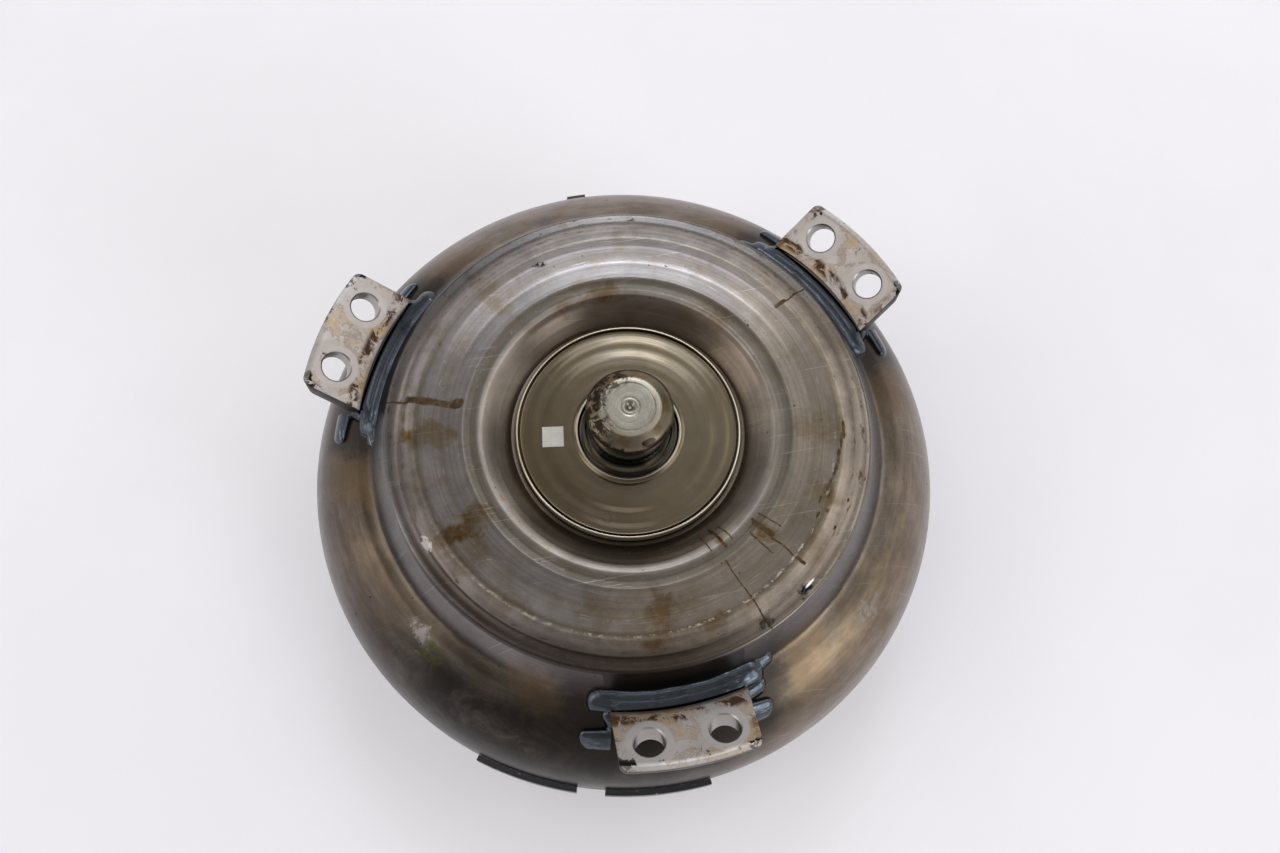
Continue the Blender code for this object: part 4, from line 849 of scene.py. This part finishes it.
def lug_blank(material):
    """One lug without holes, in the frame of its hole line: x outward, y along, z up."""
    corner = 0.003
    rows = np.unique(
        np.concatenate(
            [np.linspace(-LUG_HALF_WIDTH, LUG_HALF_WIDTH, 41)]
            + [side * (LUG_HALF_WIDTH - corner * (1 - np.sin(np.linspace(0, math.pi / 2, 7)))) for side in (-1, 1)]
        ).round(6)
    )
    shelf = LUG_OUTER - 0.0020

    def edge(y):
        inside = LUG_HALF_WIDTH - corner
        full = math.sqrt(LUG_OUTER**2 - min(abs(y), inside) ** 2)
        over = max(0.0, abs(y) - inside)
        return full - corner + math.sqrt(max(0.0, corner**2 - over**2))

    points, tops, bottoms = [], [], []
    for y in rows:
        near = math.sqrt(LUG_INNER**2 - y * y)
        far = edge(y)
        step = min(math.sqrt(shelf**2 - y * y), far - 0.0004)
        xs = np.concatenate([np.linspace(near, step, 15), np.linspace(step, far, 5)[1:]]) - LUG_LINE
        flat = (step - LUG_LINE) * math.tan(LUG_TILT)
        tops.append([])
        bottoms.append([])
        for x in xs:
            tops[-1].append(len(points))
            points.append((x, y, min(x * math.tan(LUG_TILT), flat + 0.25 * max(0, x + LUG_LINE - step) * math.tan(LUG_TILT))))
        back = LUG_WALL * math.sin(LUG_TILT)
        low = np.linspace(near - LUG_LINE + back, far - LUG_LINE, len(xs))
        for x in low:
            bottoms[-1].append(len(points))
            points.append((x, y, x * math.tan(LUG_TILT) - LUG_WALL / math.cos(LUG_TILT)))
    faces = []
    for grid, flip in ((tops, False), (bottoms, True)):
        for a, b in zip(grid, grid[1:]):
            for i in range(len(a) - 1):
                face = (a[i], a[i + 1], b[i + 1], b[i])
                faces.append(face[::-1] if flip else face)
    for a, b, c, d in zip(tops, tops[1:], bottoms, bottoms[1:]):
        faces.append((a[0], b[0], d[0], c[0]))
        faces.append((b[-1], a[-1], c[-1], d[-1]))
    for line, under, flip in ((tops[0], bottoms[0], False), (tops[-1], bottoms[-1], True)):
        for i in range(len(line) - 1):
            face = (line[i + 1], line[i], under[i], under[i + 1])
            faces.append(face[::-1] if flip else face)
    return mesh_object("lug_blank", points, faces, material)


def make_lugs(material, edges):
    blank = lug_blank(material)
    bevel = blank.modifiers.new("edge", "BEVEL")
    bevel.width = 0.0005
    bevel.segments = 2
    bevel.limit_method = "ANGLE"
    bevel.angle_limit = math.radians(40)
    half = LUG_WALL / 2
    cutters = []
    for side in (-1, 1):
        outline = [(0, half + 0.004), (0.0102, half + 0.004), (0.0055, half - 0.0005), (0.0055, -half + 0.0005)]
        outline += [(0.0102, -half - 0.004), (0, -half - 0.004)]
        cutter = lathe(f"hole_{side}", outline, material, 64)
        tilt = Matrix.Rotation(-LUG_TILT, 4, "Y") @ Matrix.Translation((0, 0, -half))
        cutter.matrix_world = Matrix.Translation((0, side * 0.0135, 0)) @ tilt
        hole = blank.modifiers.new("hole", "BOOLEAN")
        hole.operation = "DIFFERENCE"
        hole.solver = "EXACT"
        hole.object = cutter
        cutters.append(cutter)
    first = evaluated(blank, "lug_1", material)
    for cutter in cutters:
        bpy.data.objects.remove(cutter)
    shape = first.data
    bpy.data.objects.remove(first)
    face_up = Vector((-math.sin(LUG_TILT), 0, math.cos(LUG_TILT)))
    axis_foot = [Vector((0, side * 0.0135, 0)) for side in (-1, 1)]
    for polygon in shape.polygons:
        centre = Vector(polygon.center)
        away = min((centre - foot).cross(face_up).length for foot in axis_foot)
        if polygon.normal.dot(face_up) < 0.6 and away > 0.0068:
            polygon.material_index = 1
    for number, angle in enumerate(LUG_ANGLES, 1):
        mesh = shape.copy()
        mesh.transform(Matrix.Rotation(angle, 4, "Z") @ Matrix.Translation((LUG_LINE, 0, BOLT_Z)))
        dress(finish_mesh(f"lug_{number}", mesh, material, 30, edges), "casing", f"drive_lug_{number}")


def tube(path, radii, sides=20, flat=1.0, pole=Vector((0, 0, 1))):
    """Points and faces of a closed tube along a path that never runs along the pole."""
    path = [Vector(point) for point in path]
    points, faces = [], []
    for index, point in enumerate(path):
        along = (path[min(index + 1, len(path) - 1)] - path[max(index - 1, 0)]).normalized()
        across = along.cross(pole).normalized()
        up = across.cross(along)
        for side in range(sides):
            turn = math.tau * side / sides
            points.append(point + radii[index] * (across * math.cos(turn) + up * math.sin(turn) * flat))
    for row in range(len(path) - 1):
        for side in range(sides):
            after = (side + 1) % sides
            a, b = row * sides, (row + 1) * sides
            faces.append((a + side, a + after, b + after, b + side))
    faces.append(tuple(range(sides))[::-1])
    faces.append(tuple((len(path) - 1) * sides + side for side in range(sides)))
    return points, faces


def round_axis(radius, angle, height):
    return (radius * math.cos(angle), radius * math.sin(angle), height)


def weld_patch(name, lug, radii, arcs, rise, material, node):
    """A weld that grows out of the shell: rise(radius, arc) is its height over the shell, below nothing where it ends."""
    radius, arc = np.meshgrid(np.linspace(*radii), np.linspace(*arcs), indexing="ij")
    shell = SHOULDER_Z + np.sqrt(SHOULDER_RADIUS**2 - (radius - CASE_RADIUS + SHOULDER_RADIUS) ** 2)
    height = np.maximum(rise(radius, arc), -0.0008)
    turn = lug + arc / LUG_INNER
    rows, columns = radius.shape
    layers = [shell + height, shell - 0.0012 + 0 * height]
    points = np.concatenate(
        [np.stack([radius * np.cos(turn), radius * np.sin(turn), layer], -1).reshape(-1, 3) for layer in layers]
    )
    index = np.arange(rows * columns).reshape(rows, columns)
    kept = (height[1:, 1:] > -0.0008) | (height[:-1, :-1] > -0.0008) | (height[1:, :-1] > -0.0008) | (height[:-1, 1:] > -0.0008)
    faces = []
    for row, column in zip(*np.nonzero(kept)):
        quad = [index[row, column], index[row + 1, column], index[row + 1, column + 1], index[row, column + 1]]
        faces.append([int(p) for p in quad])
        faces.append([int(p) + rows * columns for p in reversed(quad)])
    bm = bmesh.new()
    corners = [bm.verts.new(point) for point in points]
    for face in faces:
        bm.faces.new([corners[p] for p in face])
    bmesh.ops.delete(bm, geom=[v for v in bm.verts if not v.link_faces], context="VERTS")
    rim = [e for e in bm.edges if e.is_boundary]
    bmesh.ops.bridge_loops(bm, edges=rim)
    bmesh.ops.recalc_face_normals(bm, faces=bm.faces)
    mesh = bpy.data.meshes.new(name)
    bm.to_mesh(mesh)
    bm.free()
    return dress(finish_mesh(name, mesh, material, 70), "casing", node)


def shell_fall(inner, outer):
    """How much lower the shell lies at an outer radius than at an inner one."""
    centre = CASE_RADIUS - SHOULDER_RADIUS
    rise = SHOULDER_RADIUS**2
    return np.sqrt(rise - (inner - centre) ** 2) - np.sqrt(rise - (outer - centre) ** 2)


def hump(radius, arc, start, end, half, high, sharp=0.62, taper=0.0):
    """Height of a round-ended bead from start to end, each a (radius, arc) pair, narrower at its end by taper."""
    start, end = np.array(start), np.array(end)
    way = end - start
    share = ((radius - start[0]) * way[0] + (arc - start[1]) * way[1]) / (way @ way)
    share = np.clip(share, 0, 1)
    half = half * (1 - taper * share)
    high = high * (1 - 1.3 * taper * share)
    away = np.hypot(radius - start[0] - share * way[0], arc - start[1] - share * way[1]) / half
    inside = np.clip(1 - away**2, 0, 1) ** sharp
    return np.where(away < 1, high * inside, -0.004 * (away - 1))


def soft_most(first, second, blend):
    """The higher of two heights with the crease between them filled."""
    mixed = np.clip(0.5 + 0.5 * (first - second) / blend, 0, 1)
    return second + (first - second) * mixed + blend * mixed * (1 - mixed)


def make_lug_welds(material):
    half = LUG_HALF_WIDTH
    for number, lug in enumerate(LUG_ANGLES, 1):
        seed = 1.7 * number

        def long_bead(radius, arc, seed=seed):
            crest = 0.0999
            wave = 1 + 0.04 * np.sin(arc * 260 + seed) + 0.02 * np.sin(arc * 610 + 2 * seed)
            held = np.clip((half + 0.003 - np.abs(arc)) / 0.007, 0, 1)
            filled = held * held * (3 - 2 * held) * np.maximum(radius - crest, 0)
            main = hump(radius - filled, arc, (crest, -half - 0.004), (crest, half + 0.004), 0.0052 * wave, 0.0041, 0.5)
            main = main + shell_fall(crest, crest + filled) - 0.0011 * (filled / 0.0037) ** 2
            tail = hump(radius, arc, (0.0990, half + 0.003), (0.0972, half + 0.012), 0.0030, 0.0028, 0.5)
            ripple = 0.000004 * np.sin(arc * math.tau / 0.0021 + 5 * np.abs(radius - 0.0994) / 0.004 + seed)
            return soft_most(main, tail, 0.0016) + ripple

        weld_patch(f"long_weld_{number}", lug, (0.0938, 0.1036, 42), (-0.041, 0.041, 280), long_bead, material, f"lug_weld_{number}")
        for side, label in ((-1, "left"), (1, "right")):
            long, short = (0.0105, 0.0085) if number == 1 and side == 1 else (0.0130, 0.0035)

            def fingers(radius, arc, side=side, seed=seed, long=long, short=short):
                along = side * arc * radius / LUG_INNER
                first = hump(radius, along, (0.1120, half), (0.1128, half + long - 0.003), 0.0035, 0.0031, 0.5, 0.18)
                second = hump(radius, along, (0.1060, half), (0.1052, half + short - 0.003), 0.0029, 0.0027, 0.5, 0.05)
                pool = hump(radius, along, (0.1050, half + 0.0005), (0.1135, half + 0.0005), 0.0018, 0.0018)
                ripple = 0.000004 * np.sin(along * math.tau / 0.0019 + seed)
                return soft_most(soft_most(first, second, 0.0008), pool, 0.001) + ripple

            edge = half + 0.0004
            arcs = sorted((side * edge * LUG_INNER / 0.109, side * (edge + 0.0165) * LUG_INNER / 0.109))
            weld_patch(
                f"side_weld_{number}_{label}",
                lug,
                (0.1008, 0.1172, 60),
                (*arcs, 70),
                fingers,
                material,
                f"lug_{number}_side_weld_{label}",
            )


def make_weights(material):
    places = ((233.3, 251.3, SKIRT_Z, 0.008), (256.2, 274.6, SKIRT_Z, 0.008), (88.0, 91.6, SHOULDER_Z, 0.0150))
    for number, (start, end, foot, tall) in enumerate(places, 1):
        heights = np.linspace(foot + SEAT, foot + SEAT + tall, 8)
        lean = np.maximum(0, heights - SHOULDER_Z)
        face = CASE_RADIUS - SHOULDER_RADIUS + np.sqrt(SHOULDER_RADIUS**2 - lean**2)
        inner = list(zip(face + SEAT, heights))
        outer = [(r + 0.0022, z, 0.0006 if row in (0, 7) else 0) for row, (r, z) in enumerate(inner)]
        section = rounded([(*inner[0], 0), *outer, (*inner[-1], 0)], 3) + inner[-2:0:-1]
        turns = np.radians(np.linspace(start, end, 48))
        points = [round_axis(r, a, z) for a in turns for r, z in section]
        count = len(section)
        faces = []
        for row in range(len(turns) - 1):
            for side in range(count):
                after = (side + 1) % count
                a, b = row * count, (row + 1) * count
                faces.append((a + side, a + after, b + after, b + side))
        faces.append(tuple(range(count))[::-1])
        faces.append(tuple((len(turns) - 1) * count + side for side in range(count)))
        strip = mesh_object(f"strip_{number}", points, faces, material)
        dress(strip, "casing", f"balance_weight_{number}")


def ring_weld(name, section, pitch, material, node):
    """A weld bead round the axis with ripples of the given pitch."""
    outline = np.array(section)
    middle = outline.mean(0)
    count = round(math.tau * middle[0] / pitch)

    def ripple(radius, height, turns):
        swell = 1 + 0.045 * np.sin(count * turns) + 0.03 * np.sin(7 * turns + 0.4) + 0.02 * np.sin(19 * turns)
        return middle[0] + (radius - middle[0]) * swell, middle[1] + (height - middle[1]) * swell

    piece = lathe(name, section, material, 6 * count, ripple, 60)
    return dress(piece, "casing", node)


def make_rear(steel, ground, weld):
    """The impeller shell with its blade dimples, the pump neck with its slots and the two round welds."""
    wall = 0.003
    rim = CASE_RADIUS - COVER_WALL - SEAT - wall
    turns = np.linspace(0, math.pi - math.asin((SKIRT_Z - NECK_Z - wall) / BOWL_DEPTH), 60)
    bowl = np.stack([BOWL_RADIUS + (rim - BOWL_RADIUS) * np.cos(turns), SKIRT_Z - BOWL_DEPTH * np.sin(turns)], 1)
    inside = np.concatenate([[(rim, SHOULDER_Z)], bowl, [(NECK_RADIUS + SEAT, NECK_Z + wall)]])
    along = np.gradient(inside, axis=0)
    along /= np.linalg.norm(along, axis=1)[:, None]
    outward = np.stack([-along[:, 1], along[:, 0]], 1) * np.array([-1, -1])
    outward[0] = (1, 0)
    outward[-1] = (0, -1)
    outside = inside + wall * outward
    outline = np.concatenate([inside, outside[::-1]])
    push = np.concatenate([0 * outward, outward[::-1]])
    dent = np.zeros(len(outline))
    for centre in (16, 30, 44):
        dent += np.exp(-(((np.arange(len(outline)) - (2 * len(inside) - 1 - centre)) / 2.2) ** 4))

    def dimple(radius, height, angles):
        beat = np.abs((angles * BLADES / math.tau) % 1 - 0.5) * math.tau / BLADES * radius
        depth = -0.0005 * dent[:, None] * np.exp(-((beat / 0.0016) ** 2))
        return radius + depth * push[:, :1], height + depth * push[:, 1:]

    dress(lathe("rear_shell", outline, steel, 720, dimple), "casing", "impeller_shell")

    neck_top = NECK_Z + wall + SEAT
    outline = [
        (NECK_BORE + 0.0008, 0, 0),
        (NECK_RADIUS - 0.0012, 0, 0.0003),
        (NECK_RADIUS, 0.0012, 0.0003),
        (NECK_RADIUS, neck_top, 0),
        (0.038, neck_top, 0.0003),
        (0.038, neck_top + 0.0045, 0.0003),
        (NECK_BORE, neck_top + 0.0045, 0),
        (NECK_BORE, 0.0008, 0),
    ]
    neck = lathe("neck", rounded(outline, 3), ground, 160)
    cutter = mesh_object("slot", *box_faces((0.08, 0.011, 0.018)), ground)
    bevel = cutter.modifiers.new("edge", "BEVEL")
    bevel.width = 0.0012
    bevel.segments = 3
    slot = neck.modifiers.new("slot", "BOOLEAN")
    slot.operation = "DIFFERENCE"
    slot.solver = "EXACT"
    slot.object = cutter
    dress(evaluated(neck, "pump_neck", ground), "casing", "impeller_hub")
    bpy.data.objects.remove(cutter)

    top, low = SKIRT_Z - SEAT, SKIRT_Z - SEAT - 0.0042
    bore = CASE_RADIUS - COVER_WALL
    girth = [(bore, top), (CASE_RADIUS - SEAT, top), (CASE_RADIUS - 0.0007, top - 0.0013)]
    girth += [(CASE_RADIUS - 0.0021, top - 0.0028), (bore + 0.0004, low + 0.0004), (bore, low)]
    ring_weld("girth_weld", girth, 0.0028, weld, "casing_weld")
    inner, top = NECK_RADIUS + SEAT, NECK_Z - SEAT
    collar = [(inner, top), (inner, top - 0.0035), (inner + 0.0009, top - 0.0032)]
    collar += [(inner + 0.0023, top - 0.0021), (inner + 0.0032, top - 0.0009), (inner + 0.0035, top)]
    ring_weld("neck_weld", collar, 0.0028, weld, "hub_weld")


def box_faces(size):
    points = [tuple(np.where(np.array(signs), 1, -1) * np.array(size) / 2) for signs in np.ndindex(2, 2, 2)]
    return points, [(0, 1, 3, 2), (4, 6, 7, 5), (0, 4, 5, 1), (2, 3, 7, 6), (0, 2, 6, 4), (1, 5, 7, 3)]


def make_springs(material):
    """Wound damper springs with closed ends and a slightly uneven pitch."""
    for number in range(1, 5):
        low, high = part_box(f"damper_spring_{number}")
        centre = (low + high) / 2
        angle = math.atan2(centre.y, centre.x)
        arm = Vector((math.cos(angle), math.sin(angle), 0))
        axis = Vector((-math.sin(angle), math.cos(angle), 0))
        mean, wire, length, turns = 0.0060, 0.0015, 0.0444, 5
        shares = np.linspace(0, 1, turns * 28 + 1)
        path = []
        for share in shares:
            spin = math.tau * turns * share
            climb = share + 0.035 * math.sin(math.tau * 2 * (share - 0.5)) / 2
            path.append(
                centre + arm * mean * math.cos(spin) + Vector((0, 0, 1)) * mean * math.sin(spin) + axis * length * (climb - 0.5)
            )
        radii = [wire] * len(path)
        points, faces = tube(path, radii, 14, 1.0, axis)
        spring = mesh_object(f"spring_{number}", points, faces, material, 50)
        dress(spring, "damper_drive", f"damper_spring_{number}")
        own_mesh(spring)


def finish_inside():
    """Materials for the solids that stay as they are."""
    sheet = plain_steel("sheet_steel", (0.30, 0.29, 0.275), 0.32, 0.4)
    turned = plain_steel("turned_steel", (0.42, 0.41, 0.39), 0.24, 0.8)
    race = plain_steel("bearing_steel", (0.50, 0.49, 0.48), 0.16, 0.5)
    cast = plain_matt("cast_alloy", (0.52, 0.52, 0.51), (0.62, 0.62, 0.61), 0.5, 160.0)
    lining = plain_matt("lining_paper", (0.10, 0.075, 0.05), (0.17, 0.13, 0.09), 0.85, 420.0)
    rubber = plain_matt("seal_rubber", (0.02, 0.02, 0.021), (0.035, 0.035, 0.036), 0.55, 260.0)
    wheels = (
        ("lining", lining),
        ("seal", rubber),
        ("bearing", race),
        ("race", race),
        ("roller", race),
        ("stator_wheel", cast),
        ("washer", cast),
        ("hub", turned),
        ("rivet", turned),
        ("", sheet),
    )
    for name, node in NODES.items():
        material = next(each for part, each in wheels if part in name)
        node.data.materials.clear()
        node.data.materials.append(material)


def make_stage():
    size = 60.0
    floor = mesh_object(
        "floor",
        [(-size, -size, 0), (size, -size, 0), (size, size, 0), (-size, size, 0)],
        [(0, 1, 2, 3)],
        floor_material(),
    )
    floor.location.z = -0.0005


def floor_material():
    paper = Shader("floor_paper", (0.80, 0.773, 0.795), 0.85, 0.0)
    paper.paint(paper.fade(paper.noise(6.0, 5, 0.6), 0.35, 0.7), (0.83, 0.803, 0.825))
    # Painted shade: the floor darkens toward the corner at 235 degrees.
    turn = math.radians(235) + VIEW_TURN
    corner = (math.cos(turn), math.sin(turn), 0)
    out = paper.node("VectorMath", {0: paper.coords, 1: corner}, out="Value", operation="DOT_PRODUCT")
    paper.paint(paper.fade(out, 0.0, 0.42), (0.93, 0.93, 0.935), None, "MULTIPLY")
    path = paper.tree.nodes.new("ShaderNodeLightPath").outputs
    seen = path["Is Camera Ray"]
    for other in ("Is Glossy Ray", "Is Transmission Ray"):
        seen = paper.math("MAXIMUM", seen, path[other])
    paper.bsdf.inputs["Emission Color"].default_value = (1.0, 0.98, 1.0, 1)
    paper.put(paper.bsdf.inputs["Emission Strength"], paper.math("MULTIPLY", seen, 0.14))
    return paper.done()


PALE = (0.895, 0.878, 0.915, 1)


def make_world():
    """A dim room with soft bright panels, each an angle and elevation in the camera's ground frame."""
    world = bpy.data.worlds.new("studio")
    world.use_nodes = True
    bpy.context.scene.world = world
    sky = Nodes(world.node_tree)
    toward = sky.node("TexCoord", out="Generated")
    light = (0.42, 0.415, 0.42, 1)
    for degrees, elevation, inner, outer, strength, colour in (
        (91, 55.5, 7, 12.5, 2.7, (0.76, 0.86, 1.0)),
        (91, 55.5, 2, 6, 4.8, (0.88, 0.94, 1.0)),
        (50, 62, 6, 24, 0.6, (0.97, 0.98, 1.0)),
        (44, 58, 3, 9, 1.3, (1.0, 0.99, 0.98)),
        (8, 64, 3, 11, 1.2, (1.0, 0.98, 0.98)),
        (186, 70, 3, 10, 1.5, (1.0, 0.97, 0.97)),
        (120, 64, 4, 14, 0.22, (1.0, 0.98, 0.97)),
        (20, 52, 8, 26, 0.6, (1.0, 0.99, 0.98)),
        (193, 60, 8, 24, 0.65, (1.0, 0.99, 0.98)),
        (150, 46, 3, 10, 1.6, (1.0, 0.97, 0.97)),
        (90, 87, 2, 7, 1.2, (1.0, 0.97, 0.98)),
        (-36, 32, 5, 15, 2.8, (0.88, 0.93, 1.0)),
        (-37, 9, 8, 20, 3.1, (0.92, 0.96, 1.0)),
        (201, 34, 7, 18, 1.7, (1.0, 0.99, 0.98)),
        (203, 8, 8, 20, 1.0, (1.0, 0.99, 0.98)),
        (90, 8, 12, 40, 0.6, (1.0, 1.0, 1.0)),
        (0, 6, 10, 36, 0.55, (1.0, 1.0, 1.0)),
        (180, 6, 10, 36, 0.55, (1.0, 1.0, 1.0)),
    ):
        turn, rise = math.radians(degrees) + VIEW_TURN, math.radians(elevation)
        way = (math.cos(turn) * math.cos(rise), math.sin(turn) * math.cos(rise), math.sin(rise))
        dot = sky.node("VectorMath", {0: toward, 1: way}, out="Value", operation="DOT_PRODUCT")
        glow = sky.fade(dot, math.cos(math.radians(outer)), math.cos(math.radians(inner)))
        light = sky.mix(glow, light, tuple(strength * part for part in colour) + (1,), "ADD")
    height = sky.node("SeparateXYZ", {0: toward}, out=2)
    horizon = sky.fade(height, math.sin(math.radians(10)), math.sin(math.radians(3)))
    path = sky.tree.nodes.new("ShaderNodeLightPath").outputs
    light = sky.mix(sky.times(horizon, path["Is Glossy Ray"]), light, PALE, "LIGHTEN")
    seen = sky.math("MAXIMUM", path["Is Camera Ray"], path["Is Transmission Ray"])
    light = sky.mix(seen, light, PALE)
    sky.put(sky.tree.nodes["Background"].inputs["Color"], light)


def make_camera():
    """The photograph's view, fitted to the bolt holes and turned rings."""
    unit = 0.115
    place = Vector((0.0370, -1.3762, 3.7271)) * unit
    right = Vector((0.99580, 0.08568, 0.03212))
    up = Vector((-0.09150, 0.93244, 0.34955))
    back = Vector((0.0, -0.35102, 0.93637))
    turn = Matrix.Rotation(VIEW_TURN, 3, "Z")
    lens = bpy.data.cameras.new("camera")
    lens.sensor_width = 36
    lens.lens = 36 * 1203 / 1280
    lens.clip_start = 0.01
    camera = bpy.data.objects.new("camera", lens)
    bpy.context.scene.collection.objects.link(camera)
    axes = Matrix((turn @ right, turn @ up, turn @ back)).transposed().to_4x4()
    camera.matrix_world = Matrix.Translation(turn @ place + Vector((0, 0, BOLT_Z))) @ axes
    bpy.context.scene.camera = camera


def main():
    make_camera()
    make_cover(cover_steel())
    make_disc(disc_steel())
    make_pilot(pilot_steel())
    make_square(plain_matt("pale_mark", (0.50, 0.47, 0.42), (0.56, 0.53, 0.48), 0.5, 300.0))
    make_lugs(lug_steel(), scale_steel())
    make_lug_welds(weld_metal())
    make_weights(strip_paint())
    make_rear(plain_steel("pressed_steel", (0.24, 0.22, 0.2), 0.34, 0.3), plain_steel("ground_steel", (0.5, 0.49, 0.47), 0.2), weld_metal())
    make_springs(plain_steel("spring_steel", (0.3, 0.3, 0.31), 0.25, 0.0))
    finish_inside()
    make_world()
    make_stage()
    bpy.context.scene.view_settings.view_transform = "Standard"


main()
